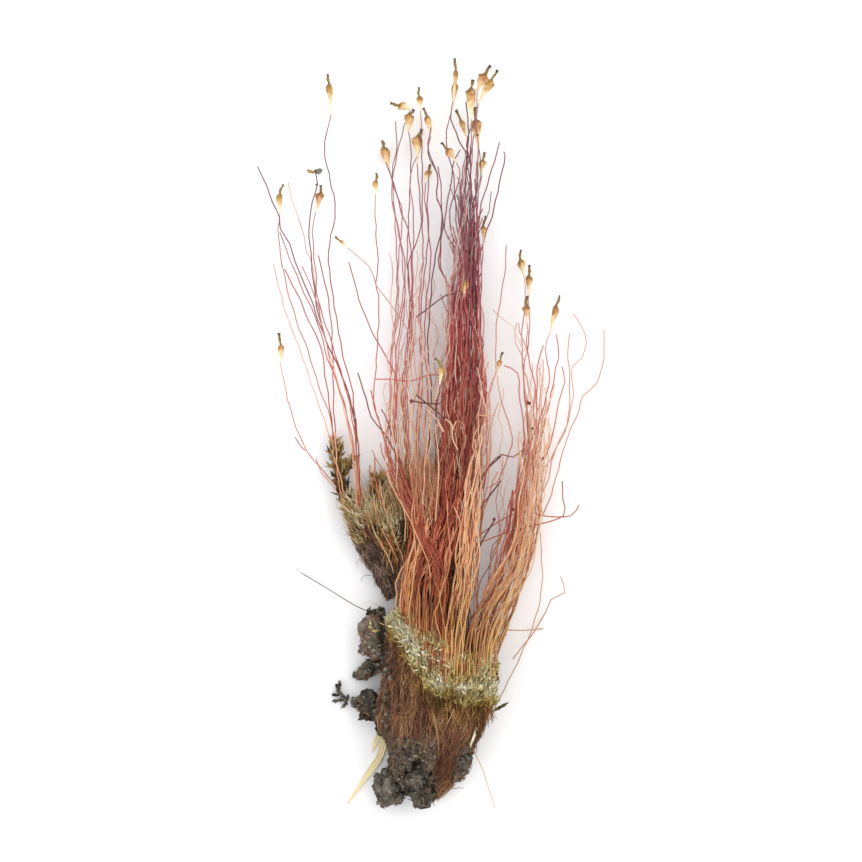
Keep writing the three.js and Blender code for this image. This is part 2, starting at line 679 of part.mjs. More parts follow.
// Leaves pressed flat under the stalks at the foot.
function underLeaves() {
  const random = randomFrom(23);
  const core = new THREE.BoxGeometry(8.7, 0.7, 0.62, 6, 1, 1);
  core.translate(2.95, FOOT_Y + 0.5, 0.36);
  const solids = [toSolid(core)];
  const count = 15;
  for (let i = 0; i < count; i += 1) {
    const t = (i + 0.5) / count;
    const root = new THREE.Vector3(mix(-1.2, 7.1, t), FOOT_Y + 0.4 + 0.2 * random(), 0.36);
    const direction = new THREE.Vector3(mix(-0.1, 0.9, t) + 0.4 * (random() - 0.5), 1, 0);
    solids.push(leaf(root, direction, mix(2.2, 4.0, random()), 1.2, 0));
  }
  return fuse(solids);
}

// A leafy shoot: a slim stem with leaves set round it in a spiral.
function shoot({ route, radius, leaves, length, spread, seed }) {
  const random = randomFrom(seed);
  const points = route.map((p) => new THREE.Vector3(...p));
  const curve = new THREE.CatmullRomCurve3(points, false, 'centripetal');
  const solids = [stalk(points, radius)];
  for (let i = 0; i < leaves; i += 1) {
    const t = mix(0.04, 0.96, (i + 0.5) / leaves);
    const root = curve.getPointAt(t);
    const heading = curve.getTangentAt(t);
    const angle = i * 2.4;
    const outward = new THREE.Vector3(Math.cos(angle), 0, 0.75 * Math.sin(angle));
    const direction = heading.clone().addScaledVector(outward, spread * mix(0.8, 1.2, random()));
    solids.push(leaf(root, direction, length * mix(0.8, 1.15, random()), 1.05, angle));
  }
  return fuse(solids);
}

const SHOOTS = {
  shoot_narrow: {
    route: [[-9.9, -8.0, 1.5], [-10.5, -4.6, 1.8], [-11.1, -0.8, 1.8]],
    radius: 0.55,
    leaves: 13,
    length: 2.3,
    spread: 0.55,
    seed: 5,
  },
  shoot_tuft: {
    route: [[-6.0, -8.6, 1.5], [-6.1, -6.4, 1.5], [-6.0, -4.6, 1.4]],
    radius: 0.5,
    leaves: 10,
    length: 2.0,
    spread: 0.6,
    seed: 9,
  },
};

// Rhizoid felt of the side clump: a tapering strip that ends beside the main clump.
const SIDE_FELT = [[0, -10.0, -8.9, 1.1], [0.2, -8.2, -9.9, 1.6], [0.45, -6.4, -12.2, 2.3],
  [0.7, -5.4, -15.0, 1.7], [0.9, -5.0, -17.4, 1.1], [1, -4.9, -18.9, 0.5]];

function sideFelt() {
  const strip = new THREE.SphereGeometry(1, 14, 11);
  moveVertices(strip, (p) => {
    const t = (p.y + 1) / 2;
    const read = (column) => along(SIDE_FELT.map((row) => [row[0], row[column]]), t);
    const angle = Math.atan2(p.z, p.x);
    const ridged = Math.hypot(p.x, p.z) ** 0.6 * (1 + 0.08 * Math.sin(5 * angle + 9 * t));
    const half = read(3);
    const lean = mix(0.55, 0.15, t);
    const offset = -half * ridged * Math.cos(angle);
    const thick = mix(1.15, 1.5, Math.sin(Math.PI * t));
    p.set(
      read(1) + offset * Math.cos(lean),
      read(2) + offset * Math.sin(lean),
      Math.max(0, thick * 0.9 + thick * 1.1 * ridged * Math.sin(angle)),
    );
  });
  return toSolid(strip);
}

// Olive leaves that stand on the side clump's felt.
function sideLeaves() {
  const random = randomFrom(31);
  const ridge = [[-8.0, -9.2, 3.4], [-6.6, -10.2, 3.6], [-5.2, -11.0, 3.6], [-4.2, -11.8, 3.4]];
  const points = ridge.map((p) => new THREE.Vector3(...p));
  const curve = new THREE.CatmullRomCurve3(points, false, 'centripetal');
  const solids = [stalk(points, 0.55)];
  const count = 16;
  for (let i = 0; i < count; i += 1) {
    const t = (i + 0.5) / count;
    const root = curve.getPointAt(t);
    const direction = new THREE.Vector3(
      mix(-0.8, 0.3, t) + 0.5 * (random() - 0.5),
      mix(-0.5, 1.0, random()),
      0.55 + 0.3 * random(),
    );
    solids.push(leaf(root, direction, mix(1.8, 2.6, random()), 1.1, random() * Math.PI));
  }
  return fuse(solids);
}

// The straw: a thin dry blade with a shorter split piece beside its thick end.
function straw() {
  const main = new THREE.CylinderGeometry(1, 1, 1, 6, 5);
  const path = new THREE.CatmullRomCurve3([
    new THREE.Vector3(-9.5, -42.4, 0),
    new THREE.Vector3(-7.9, -40.1, 0),
    new THREE.Vector3(-6.2, -36.8, 0),
    new THREE.Vector3(-5.5, -34.3, 0),
  ]);
  const width = [[0, 0.3], [0.25, 0.5], [0.7, 0.72], [1, 0.5]];
  moveVertices(main, (p) => {
    const t = p.y + 0.5;
    const centre = path.getPointAt(t);
    const heading = path.getTangentAt(t);
    const half = along(width, t);
    p.set(
      centre.x + p.x * half * heading.y,
      centre.y - p.x * half * heading.x,
      Math.max(0, 0.35 + p.z * 0.38),
    );
  });
  const split = leaf(
    new THREE.Vector3(-5.7, -35.0, 0.36),
    new THREE.Vector3(-0.55, -1, 0),
    2.2,
    0.7,
    0,
  );
  return toSolid(main).add(split);
}

// Assembly
const moss = new THREE.Group();

function place(name, solid, colour, roughness = 0.85) {
  const material = new THREE.MeshStandardMaterial({ color: colour, roughness, metalness: 0 });
  const mesh = new THREE.Mesh(toGeometry(oneBody(solid)), material);
  mesh.name = name;
  moss.add(mesh);
}

Object.entries(LUMPS).forEach(([name, one]) => {
  let solid = lump(one);
  if (name === 'dung_side_upper') {
    const hair = [[-6.6, -20.6, 2.6], [-8.4, -19.5, 1.4], [-11.5, -17.9, 0.7], [-15.4, -15.5, 0.4]];
    solid = solid.add(stalk(hair.map((p) => new THREE.Vector3(...p)), 0.34));
  }
  place(name, solid, DUNG, 0.95);
});
place('rhizoid_felt', feltSolid(), FELT, 0.95);
place('side_felt', sideFelt(), DARK_FELT, 0.95);
place('leaf_mat', leafMat(), PALE_LEAF);
place('leaves_under', underLeaves(), OLIVE);
place('side_leaves', sideLeaves(), OLIVE);
Object.entries(SHOOTS).forEach(([name, one]) => place(name, shoot(one), OLIVE));
BUNCHES.forEach((bunch, index) => place(bunch.name, bunchSolid(bunch, index), bunch.colour, 0.6));
place('straw', straw(), STRAW, 0.7);

export default moss;
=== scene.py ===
"""Cruet collar moss: one dried clump lying on its side, dressed for the picture.

Shapes are worked out in millimetres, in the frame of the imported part, and turned to metres when a
piece is finished. +Y runs from the felted foot to the capsules and +Z up off the surface.
"""

import math
import random

import bmesh
import bpy
from mathutils import Matrix, Vector, noise
from mathutils.bvhtree import BVHTree


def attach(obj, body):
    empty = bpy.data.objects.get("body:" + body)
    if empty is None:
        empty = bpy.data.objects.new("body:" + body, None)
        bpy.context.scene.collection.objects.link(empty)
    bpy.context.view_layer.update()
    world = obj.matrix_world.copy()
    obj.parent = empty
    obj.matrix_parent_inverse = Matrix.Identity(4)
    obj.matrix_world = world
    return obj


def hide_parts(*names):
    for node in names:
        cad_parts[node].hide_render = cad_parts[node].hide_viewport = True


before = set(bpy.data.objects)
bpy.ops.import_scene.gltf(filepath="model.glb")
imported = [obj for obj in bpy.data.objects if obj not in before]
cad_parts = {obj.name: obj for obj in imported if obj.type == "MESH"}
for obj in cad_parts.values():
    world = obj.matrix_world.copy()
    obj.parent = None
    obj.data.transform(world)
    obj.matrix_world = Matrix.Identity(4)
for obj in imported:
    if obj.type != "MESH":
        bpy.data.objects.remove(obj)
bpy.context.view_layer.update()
# Vector noise would otherwise start from the clock, and set the tufts down elsewhere on each run
noise.seed_set(1)

MM = 0.001
TURN = 2 * math.pi
UP = Vector((0, 0, 1))

# Heights of the layers of setae, as in the part's source
FOOT_Y = -25.3
TIP_Y = 43.4
FOOT_HEIGHT = 1.3
FOOT_SPACING = 1.15
TIP_HEIGHT = 0.74
TIP_SPACING = 1.25
ARCH = 0.7
MAT_CROWN = 6.85
MAT_SIDE_FALL = 0.052
MAT_MIDDLE_X = 1.5
MAT_THICKNESS = 0.8

# Real thicknesses, as radii
SETA = 0.075
RHIZOID = 0.045

# How far off the floor the lowest points stay, and how close points are to be one
FLOOR_CLEARANCE = 0.04
ONE_POINT = 1e-4

# How many of each are grown
MAT_LEAVES = 4900
MAT_FRINGE_HAIRS = 900
SETAE_OVER_MAT = 118
PRESSED_STEMS = 26
PRESSED_LEAVES = 190
SIDE_LEAVES = 640
SIDE_FUZZ = 1000
TWINED_THREADS = 16
MAIN_FELT_HAIRS = 4000
MAIN_FELT_CRUMBS = 1700
LONG_FELT_HAIRS = 120
SIDE_FELT_HAIRS = 900
OLIVE_FUZZ = 1500
AMBER_FAN_HAIRS = 300
SIDE_THREADS = 900


def mix(a, b, t):
    """The value that is t of the way from a to b."""
    return a + (b - a) * t


def clamp(value, low=0.0, high=1.0):
    """The value, kept from low to high."""
    return max(low, min(high, value))


def along(pairs, position):
    """Reads a value off [position, value] pairs, straight between them."""
    if position <= pairs[0][0]:
        return pairs[0][1]
    for (p0, v0), (p1, v1) in zip(pairs, pairs[1:]):
        if position <= p1:
            return mix(v0, v1, (position - p0) / (p1 - p0))
    return pairs[-1][1]


def smooth(points, step):
    """Points about every `step` mm on a smooth curve through the given ones."""
    points = [Vector(p) for p in points]
    ends = [points[0] * 2 - points[1]] + points + [points[-1] * 2 - points[-2]]
    curve = []
    for a, b, c, d in zip(ends, ends[1:], ends[2:], ends[3:]):
        parts = max(1, round((c - b).length / step))
        for i in range(parts):
            t = i / parts
            bend = (c - a) * t + (2 * a - 5 * b + 4 * c - d) * t**2 + (3 * b - a - 3 * c + d) * t**3
            curve.append(b + 0.5 * bend)
    curve.append(points[-1])
    return curve


def layer_height(layer, y):
    """Height of a layer of setae: out of the clump, over a low arch and down to the tips."""
    t = clamp((y - FOOT_Y) / (TIP_Y - FOOT_Y))
    foot = FOOT_HEIGHT + FOOT_SPACING * layer
    tip = TIP_HEIGHT + TIP_SPACING * layer
    return mix(foot, tip, t) + ARCH * math.sin(math.pi * t**0.8)


def mat_underside(x):
    """Height of the leaf mat's lower face, which falls off to both sides of its crown."""
    return MAT_CROWN - MAT_SIDE_FALL * (x - MAT_MIDDLE_X) ** 2


# Finishes


def linear(code):
    """An sRGB hex colour as linear RGBA."""
    channels = [int(code[i:i + 2], 16) / 255 for i in (1, 3, 5)]
    return [c / 12.92 if c <= 0.04045 else ((c + 0.055) / 1.055) ** 2.4 for c in channels] + [1.0]


def node(tree, kind, inputs=None, stops=None, **settings):
    """Adds a node, with its settings, its ramp's stops, and its inputs' values or links."""
    made = tree.nodes.new(kind)
    for key, value in settings.items():
        setattr(made, key, value)
    for i, (place, colour) in enumerate(stops or []):
        ramp = made.color_ramp.elements
        stop = ramp[i] if i < 2 else ramp.new(place)
        stop.position = place
        stop.color = linear(colour)
    for key, value in (inputs or {}).items():
        if isinstance(value, bpy.types.NodeSocket):
            tree.links.new(value, made.inputs[key])
        else:
            made.inputs[key].default_value = value
    return made


def new_material(name, roughness, specular=0.5):
    """A material with its Principled shader, and the tree to dress it in."""
    material = bpy.data.materials.new(name)
    material.use_nodes = True
    tree = material.node_tree
    principled = tree.nodes["Principled BSDF"]
    principled.inputs["Roughness"].default_value = roughness
    principled.inputs["Specular IOR Level"].default_value = specular
    return material, tree, principled


def tinted(tree, factor, colour_a, colour_b):
    """The colour between two, each an sRGB hex code or a socket."""
    given = [c if isinstance(c, bpy.types.NodeSocket) else linear(c) for c in (colour_a, colour_b)]
    return node(
        tree, "ShaderNodeMix", {0: factor, 6: given[0], 7: given[1]}, data_type="RGBA",
    ).outputs[2]


def seta_finish(name):
    """Dried moss seta: a wiry, polished stalk coloured through its walls.

    Its colour ages from amber brown at the foot to wine red at the tip, the warm ones staying more
    orange. Some stalks are pale straw pink, partly paled with age and partly painted light for the glow
    of light through thin stalks; some have gone nearly black, and each is blotched.
    Towards the tip stretches of it have weathered to a greyed purple.
    """
    material, tree, principled = new_material(name, 0.42)
    place = node(tree, "ShaderNodeTexCoord").outputs["Object"]
    where = node(tree, "ShaderNodeSeparateXYZ", {"Vector": place})
    tone = node(tree, "ShaderNodeAttribute", attribute_name="tone").outputs["Fac"]
    warmth = node(tree, "ShaderNodeAttribute", attribute_name="warmth").outputs["Fac"]
    blotch = node(tree, "ShaderNodeTexNoise", {
        "Vector": place, "Scale": 1 / (1.8 * MM), "Detail": 3.0,
    })
    age = node(tree, "ShaderNodeMapRange", {
        "Value": where.outputs["Y"], "From Min": -30 * MM, "From Max": 44 * MM,
    })
    slide = node(tree, "ShaderNodeMath", {
        0: blotch.outputs["Fac"], 1: 0.3, 2: -0.15,
    }, operation="MULTIPLY_ADD")
    aged = node(tree, "ShaderNodeMath", {0: age.outputs[0], 1: slide.outputs[0]}, operation="ADD")
    wine = node(tree, "ShaderNodeValToRGB", {"Fac": aged.outputs[0]}, [
        (0.0, "#7a4a24"), (0.13, "#8a4222"), (0.2, "#903420"), (0.3, "#9a2e22"), (0.42, "#a43a2e"),
        (0.48, "#ac3c32"), (0.56, "#b03036"), (0.7, "#9c2638"), (0.85, "#7e283c"), (1.0, "#5c3042"),
    ])
    amber = node(tree, "ShaderNodeValToRGB", {"Fac": aged.outputs[0]}, [
        (0.0, "#9c6a2e"), (0.13, "#b0622a"), (0.25, "#c06432"), (0.4, "#c86e4a"), (0.5, "#c46456"),
        (0.65, "#b25a62"), (0.85, "#9c4c58"), (1.0, "#7c4854"),
    ])
    pale = node(tree, "ShaderNodeValToRGB", {"Fac": aged.outputs[0]}, [
        (0.1, "#d8ac6c"), (0.3, "#e2bc94"), (0.42, "#eac6a6"), (0.65, "#e2beb0"), (1.0, "#ccb2ae"),
    ])
    shade = node(tree, "ShaderNodeMath", {0: tone, 1: slide.outputs[0]}, operation="ADD")
    # Pale stalks: partly paled with age, partly painted light standing in for light glowing through thin
    # stalks.
    fade_and_glow = node(tree, "ShaderNodeMapRange", {
        "Value": shade.outputs[0], "From Min": 0.5, "From Max": 1.05, "To Max": 0.95,
    })
    browned = node(tree, "ShaderNodeMapRange", {
        "Value": shade.outputs[0], "From Min": 0.38, "From Max": 0.0, "To Max": 0.85,
    })
    base = tinted(tree, warmth, wine.outputs["Color"], amber.outputs["Color"])
    bleached_and_glow = tinted(tree, fade_and_glow.outputs[0], base, pale.outputs["Color"])
    dark = tinted(tree, browned.outputs[0], bleached_and_glow, "#38161a")
    weather = node(tree, "ShaderNodeTexNoise", {
        "Vector": place, "Scale": 1 / (5 * MM), "Detail": 2.0,
    })
    patchy = node(tree, "ShaderNodeMapRange", {
        "Value": weather.outputs["Fac"], "From Min": 0.42, "From Max": 0.62, "To Max": 0.6,
    })
    towards_tip = node(tree, "ShaderNodeMapRange", {
        "Value": where.outputs["Y"], "From Min": 6 * MM, "From Max": 26 * MM,
    })
    greyed = node(tree, "ShaderNodeMath", {
        0: patchy.outputs[0], 1: towards_tip.outputs[0],
    }, operation="MULTIPLY")
    tree.links.new(
        tinted(tree, greyed.outputs[0], dark, "#6c5058"), principled.inputs["Base Color"],
    )
    return material


def hair_finish(name, stops, roughness=0.6):
    """Dried rhizoids and fine hairs: dull threads, each of its own shade, clouded along the felt."""
    material, tree, principled = new_material(name, roughness, 0.2)
    place = node(tree, "ShaderNodeTexCoord").outputs["Object"]
    tone = node(tree, "ShaderNodeAttribute", attribute_name="tone").outputs["Fac"]
    cloud = node(tree, "ShaderNodeTexNoise", {
        "Vector": place, "Scale": 1 / (3.5 * MM), "Detail": 4.0,
    })
    shade = node(tree, "ShaderNodeMath", {
        0: cloud.outputs["Fac"], 1: 0.8, 2: -0.4,
    }, operation="MULTIPLY_ADD")
    toned = node(tree, "ShaderNodeMath", {0: tone, 1: shade.outputs[0]}, operation="ADD")
    base = node(tree, "ShaderNodeValToRGB", {"Fac": toned.outputs[0]}, stops)
    tree.links.new(base.outputs["Color"], principled.inputs["Base Color"])
    return material


def felt_finish(name, stops, grain):
    """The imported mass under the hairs: matted threads with no shine, grey where soil is worked in."""
    material, tree, principled = new_material(name, 0.95, 0.15)
    place = node(tree, "ShaderNodeTexCoord").outputs["Object"]
    soiled = node(tree, "ShaderNodeAttribute", attribute_name="tone").outputs["Fac"]
    drawn = node(tree, "ShaderNodeMapping", {"Vector": place, "Scale": (1.0, 0.3, 1.0)})
    threads = node(tree, "ShaderNodeTexNoise", {
        "Vector": drawn.outputs[0], "Scale": 1 / (grain * MM), "Detail": 6.0, "Roughness": 0.7,
    })
    base = node(tree, "ShaderNodeValToRGB", {"Fac": threads.outputs["Fac"]}, stops)
    grit = node(tree, "ShaderNodeTexNoise", {
        "Vector": place, "Scale": 1 / (0.6 * MM), "Detail": 6.0, "Roughness": 0.7,
    })
    soil = node(tree, "ShaderNodeValToRGB", {"Fac": grit.outputs["Fac"]}, [
        (0.3, "#2b241e"), (0.48, "#544a3e"), (0.62, "#7a6f60"), (0.8, "#a59a88"),
    ])
    relief = node(tree, "ShaderNodeBump", {
        "Height": threads.outputs["Fac"], "Strength": 0.8, "Distance": 0.12 * MM,
    })
    tree.links.new(
        tinted(tree, soiled, base.outputs["Color"], soil.outputs["Color"]),
        principled.inputs["Base Color"],
    )
    tree.links.new(relief.outputs[0], principled.inputs["Normal"])
    return material


def dung_finish(name):
    """Weathered dung and soil: dull grey-brown crumbs with paler mineral grains and black pits."""
    material, tree, principled = new_material(name, 0.95, 0.2)
    place = node(tree, "ShaderNodeTexCoord").outputs["Object"]
    tone = node(tree, "ShaderNodeAttribute", attribute_name="tone").outputs["Fac"]
    patches = node(tree, "ShaderNodeTexNoise", {
        "Vector": place, "Scale": 1 / (1.1 * MM), "Detail": 6.0, "Roughness": 0.65,
    })
    grains = node(tree, "ShaderNodeTexVoronoi", {"Vector": place, "Scale": 1 / (0.28 * MM)})
    speck = node(tree, "ShaderNodeSeparateColor", {"Color": grains.outputs["Color"]})
    toned = node(tree, "ShaderNodeMath", {
        0: tone, 1: 0.5, 2: patches.outputs["Fac"],
    }, operation="MULTIPLY_ADD")
    base = node(tree, "ShaderNodeValToRGB", {"Fac": toned.outputs[0]}, [
        (0.35, "#28231f"), (0.5, "#4c463e"), (0.65, "#706a5f"), (0.85, "#938d80"), (1.0, "#b8b2a4"),
    ])
    pale = node(tree, "ShaderNodeMapRange", {
        "Value": speck.outputs[0], "From Min": 0.92, "From Max": 0.99, "To Max": 0.5,
    })
    relief = node(tree, "ShaderNodeBump", {
        "Height": patches.outputs["Fac"], "Strength": 0.7, "Distance": 0.15 * MM,
    })
    tree.links.new(
        tinted(tree, pale.outputs[0], base.outputs["Color"], "#a49c8a"),
        principled.inputs["Base Color"],
    )
    tree.links.new(relief.outputs[0], principled.inputs["Normal"])
    return material


def leaf_finish(name, stops):
    """Dried moss leaves: thin papery scales, cream to olive, darker along the nerve and at the root."""
    material, tree, principled = new_material(name, 0.65, 0.3)
    place = node(tree, "ShaderNodeTexCoord").outputs["Object"]
    tone = node(tree, "ShaderNodeAttribute", attribute_name="tone").outputs["Fac"]
    height = node(tree, "ShaderNodeAttribute", attribute_name="along").outputs["Fac"]
    across = node(tree, "ShaderNodeAttribute", attribute_name="across").outputs["Fac"]
    cells = node(tree, "ShaderNodeTexNoise", {
        "Vector": place, "Scale": 1 / (0.5 * MM), "Detail": 3.0,
    })
    shade = node(tree, "ShaderNodeMath", {
        0: cells.outputs["Fac"], 1: 0.3, 2: -0.15,
    }, operation="MULTIPLY_ADD")
    toned = node(tree, "ShaderNodeMath", {0: tone, 1: shade.outputs[0]}, operation="ADD")
    base = node(tree, "ShaderNodeValToRGB", {"Fac": toned.outputs[0]}, stops)
    rooted = node(tree, "ShaderNodeMapRange", {
        "Value": height, "From Min": 0.4, "From Max": 0.0, "To Max": 0.45,
    })
    nerve = node(tree, "ShaderNodeMapRange", {
        "Value": across, "From Min": 0.3, "From Max": 0.0, "To Max": 0.2,
    })
    brown = tinted(tree, rooted.outputs[0], base.outputs["Color"], "#94763e")
    veined = tinted(tree, nerve.outputs[0], brown, "#86783c")
    tree.links.new(veined, principled.inputs["Base Color"])
    return material


def capsule_finish(name):
    """Spent capsule: a cream to rust, waxy swollen neck under a dark brown, leathery urn."""
    material, tree, principled = new_material(name, 0.5, 0.4)
    place = node(tree, "ShaderNodeTexCoord").outputs["Object"]
    tone = node(tree, "ShaderNodeAttribute", attribute_name="tone").outputs["Fac"]
    height = node(tree, "ShaderNodeAttribute", attribute_name="along").outputs["Fac"]
    mottle = node(tree, "ShaderNodeTexNoise", {
        "Vector": place, "Scale": 1 / (0.5 * MM), "Detail": 4.0,
    })
    slide = node(tree, "ShaderNodeMath", {
        0: mottle.outputs["Fac"], 1: 0.5, 2: -0.25,
    }, operation="MULTIPLY_ADD")
    climbed = node(tree, "ShaderNodeMath", {0: height, 1: slide.outputs[0]}, operation="ADD")
    cream = node(tree, "ShaderNodeValToRGB", {"Fac": climbed.outputs[0]}, [
        (0.0, "#f6eed2"), (0.2, "#efdcae"), (0.31, "#dcb97c"), (0.4, "#bd9250"), (0.46, "#9c7638"),
        (0.54, "#775d2a"), (0.62, "#8f773a"), (0.8, "#82693b"), (0.94, "#5c462c"), (1.0, "#42321f"),
    ])
    rust = node(tree, "ShaderNodeValToRGB", {"Fac": climbed.outputs[0]}, [
        (0.0, "#f6e6cc"), (0.2, "#e8c698"), (0.32, "#d09c6c"), (0.4, "#b47c4c"), (0.47, "#906036"),
        (0.54, "#70522a"), (0.62, "#846638"), (0.8, "#7c603a"), (0.94, "#523e28"), (1.0, "#3c2c1e"),
    ])
    relief = node(tree, "ShaderNodeBump", {
        "Height": mottle.outputs["Fac"], "Strength": 0.5, "Distance": 0.05 * MM,
    })
    tree.links.new(
        tinted(tree, tone, cream.outputs["Color"], rust.outputs["Color"]),
        principled.inputs["Base Color"],
    )
    tree.links.new(relief.outputs[0], principled.inputs["Normal"])
    return material


def straw_finish(name):
    """Dry straw: a pale, polished grass blade with long fibres and greyer streaks between them."""
    material, tree, principled = new_material(name, 0.45, 0.45)
    height = node(tree, "ShaderNodeAttribute", attribute_name="along").outputs["Fac"]
    across = node(tree, "ShaderNodeAttribute", attribute_name="across").outputs["Fac"]
    sheet = node(tree, "ShaderNodeCombineXYZ", {"X": across, "Y": height})
    drawn = node(tree, "ShaderNodeMapping", {"Vector": sheet.outputs[0], "Scale": (7, 2.2, 1)})
    fibres = node(tree, "ShaderNodeTexNoise", {
        "Vector": drawn.outputs[0], "Scale": 1.0, "Detail": 4.0,
    })
    base = node(tree, "ShaderNodeValToRGB", {"Fac": fibres.outputs["Fac"]}, [
        (0.3, "#d2b474"), (0.45, "#ecd9a2"), (0.6, "#f6eac6"), (0.8, "#fcf5dc"),
    ])
    tip = node(tree, "ShaderNodeMapRange", {
        "Value": height, "From Min": 0.035, "From Max": 0.0, "To Max": 0.9,
    })
    relief = node(tree, "ShaderNodeBump", {
        "Height": fibres.outputs["Fac"], "Strength": 0.5, "Distance": 0.05 * MM,
    })
    tree.links.new(
        tinted(tree, tip.outputs[0], base.outputs["Color"], "#4a3a26"),
        principled.inputs["Base Color"],
    )
    tree.links.new(relief.outputs[0], principled.inputs["Normal"])
    return material


DRIED_SETA = seta_finish("dried_seta")
RHIZOID_HAIR = hair_finish("rhizoid_hair", [
    (0.1, "#4a3024"), (0.3, "#70493a"), (0.5, "#8e5f44"), (0.7, "#a87a54"), (0.88, "#c49a6c"),
    (1.0, "#dcbc90"),
])
OLIVE_HAIR = hair_finish("olive_tan_hair", [
    (0.05, "#5c4226"), (0.25, "#9c7040"), (0.45, "#c8945a"), (0.65, "#dcb47c"), (1.0, "#f2deb2"),
])
DARK_HAIR = hair_finish("dark_rhizoid_hair", [
    (0.1, "#46342a"), (0.4, "#7c6152"), (0.7, "#ae9480"), (1.0, "#d8c6b0"),
])
FELT_MASS = felt_finish("rhizoid_felt_mass", [
    (0.3, "#2e1d15"), (0.5, "#4f3326"), (0.65, "#755040"), (0.8, "#94715a"),
], 0.35)
SIDE_FELT_MASS = felt_finish("side_felt_mass", [
    (0.3, "#2e221c"), (0.5, "#574238"), (0.65, "#7e6656"), (0.8, "#a89484"),
], 0.4)
DUNG = dung_finish("dried_dung")
MAT_LEAF = leaf_finish("cream_leaf", [
    (0.0, "#86662e"), (0.1, "#ac8a48"), (0.25, "#ccae66"), (0.5, "#e2d498"), (0.75, "#f0e8c2"),
    (1.0, "#faf5e2"),
])
OLIVE_LEAF = leaf_finish("olive_leaf", [
    (0.0, "#46341f"), (0.12, "#7c5c34"), (0.3, "#ac8a56"), (0.6, "#c9ae74"), (0.85, "#ddca98"),
    (1.0, "#efe4c4"),
])
GREEN_LEAF = leaf_finish("green_leaf", [
    (0.0, "#1f2a12"), (0.4, "#4c5a24"), (0.8, "#93954c"), (1.0, "#c4c07e"),
])
CAPSULE = capsule_finish("spent_capsule")
STRAW = straw_finish("dry_straw")


# Shared shapes


def new_body():
    """An empty mesh to build in, whose points carry a shade, a warmth and a place along and across."""
    bm = bmesh.new()
    for layer in ("tone", "along", "across", "warmth"):
        bm.verts.layers.float.new(layer)
    return bm


def add_mesh(bm, mesh):
    """Adds a mesh to bm and drops the mesh."""
    bm.from_mesh(mesh)
    bpy.data.meshes.remove(mesh)


def mesh_of(bm, name):
    """The mesh of a finished body. The body is used up."""
    mesh = bpy.data.meshes.new(name)
    bm.to_mesh(mesh)
    bm.free()
    return mesh


def placed(name, data):
    """A new object in the scene, for a mesh, a curve, a lamp or a camera."""
    holder = bpy.data.objects.new(name, data)
    bpy.context.scene.collection.objects.link(holder)
    return holder


def piece(name, bm, material, slot, *replaced):
    """Turns a finished body into a piece of the object, in metres."""
    for v in bm.verts:
        v.co.z = max(v.co.z, FLOOR_CLEARANCE)
    mesh = mesh_of(bm, name)
    mesh.transform(Matrix.Scale(MM, 4))
    mesh.shade_smooth()
    mesh.materials.append(material)
    made = placed(name, mesh)
    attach(made, "root")
    if replaced:
        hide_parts(*replaced)


def ring_profile(sides):
    """A closed ring with the given number of corners, for a curve to be bevelled with."""
    outline = bpy.data.curves.new("ring", "CURVE")
    outline.fill_mode = "NONE"
    ring = outline.splines.new("POLY")
    ring.points.add(sides - 1)
    for i, point in enumerate(ring.points):
        angle = -TURN * i / sides
        point.co = (math.cos(angle), math.sin(angle), 0, 1)
    ring.use_cyclic_u = True
    return placed("ring", outline)


PROFILES = {sides: ring_profile(sides) for sides in (3, 4, 6)}


def add_strands(bm, lines, sides):
    """Adds round strands, closed at both ends. A line is its points, radius, shade and warmth.

    The radius and the shade may be lists, with one value a point, and the warmth may be left out.
    """
    curve = bpy.data.curves.new("strands", "CURVE")
    curve.dimensions = "3D"
    curve.bevel_mode = "OBJECT"
    curve.bevel_object = PROFILES[sides]
    tones, places, warmths = [], [], []
    for points, radius, tone, *warmth in lines:
        count = len(points)
        spline = curve.splines.new("POLY")
        spline.points.add(count - 1)
        spline.points.foreach_set("co", [v for p in points for v in (p.x, p.y, p.z, 1)])
        widths = list(radius) if isinstance(radius, list) else [radius] * count
        widths[0] = widths[-1] = 0.0
        spline.points.foreach_set("radius", widths)
        shades = tone if isinstance(tone, list) else [tone] * count
        tones += [shade for shade in shades for _ in range(sides)]
        places += [i / (count - 1) for i in range(count) for _ in range(sides)]
        warmths += (warmth or [0.5]) * (count * sides)
    holder = placed("strands", curve)
    graph = bpy.context.evaluated_depsgraph_get()
    mesh = bpy.data.meshes.new_from_object(holder.evaluated_get(graph))
    for layer, values in (("tone", tones), ("along", places), ("warmth", warmths)):
        mesh.attributes.new(layer, "FLOAT", "POINT").data.foreach_set("value", values)
    sheet = bmesh.new()
    sheet.from_mesh(mesh)
    bmesh.ops.remove_doubles(sheet, verts=sheet.verts, dist=0.1 * ONE_POINT)
    sheet.to_mesh(mesh)
    sheet.free()
    add_mesh(bm, mesh)
    bpy.data.objects.remove(holder)
    bpy.data.curves.remove(curve)


def strand_piece(name, lines, sides, material, slot):
    """A piece of the object that is strands alone."""
    bm = new_body()
    add_strands(bm, lines, sides)
    piece(name, bm, material, slot)


def ended(points, blunt=0.06):
    """The points with one more just inside each end, so that a strand ends bluntly."""
    first = points[0].lerp(points[1], min(0.4, blunt / (points[1] - points[0]).length))
    last = points[-1].lerp(points[-2], min(0.4, blunt / (points[-1] - points[-2]).length))
    return [points[0], first, *points[1:-1], last, points[-1]]


def random_direction(rng):
    """A direction at random, shorter or longer than a unit."""
    return Vector([rng.uniform(-1, 1) for _ in range(3)])


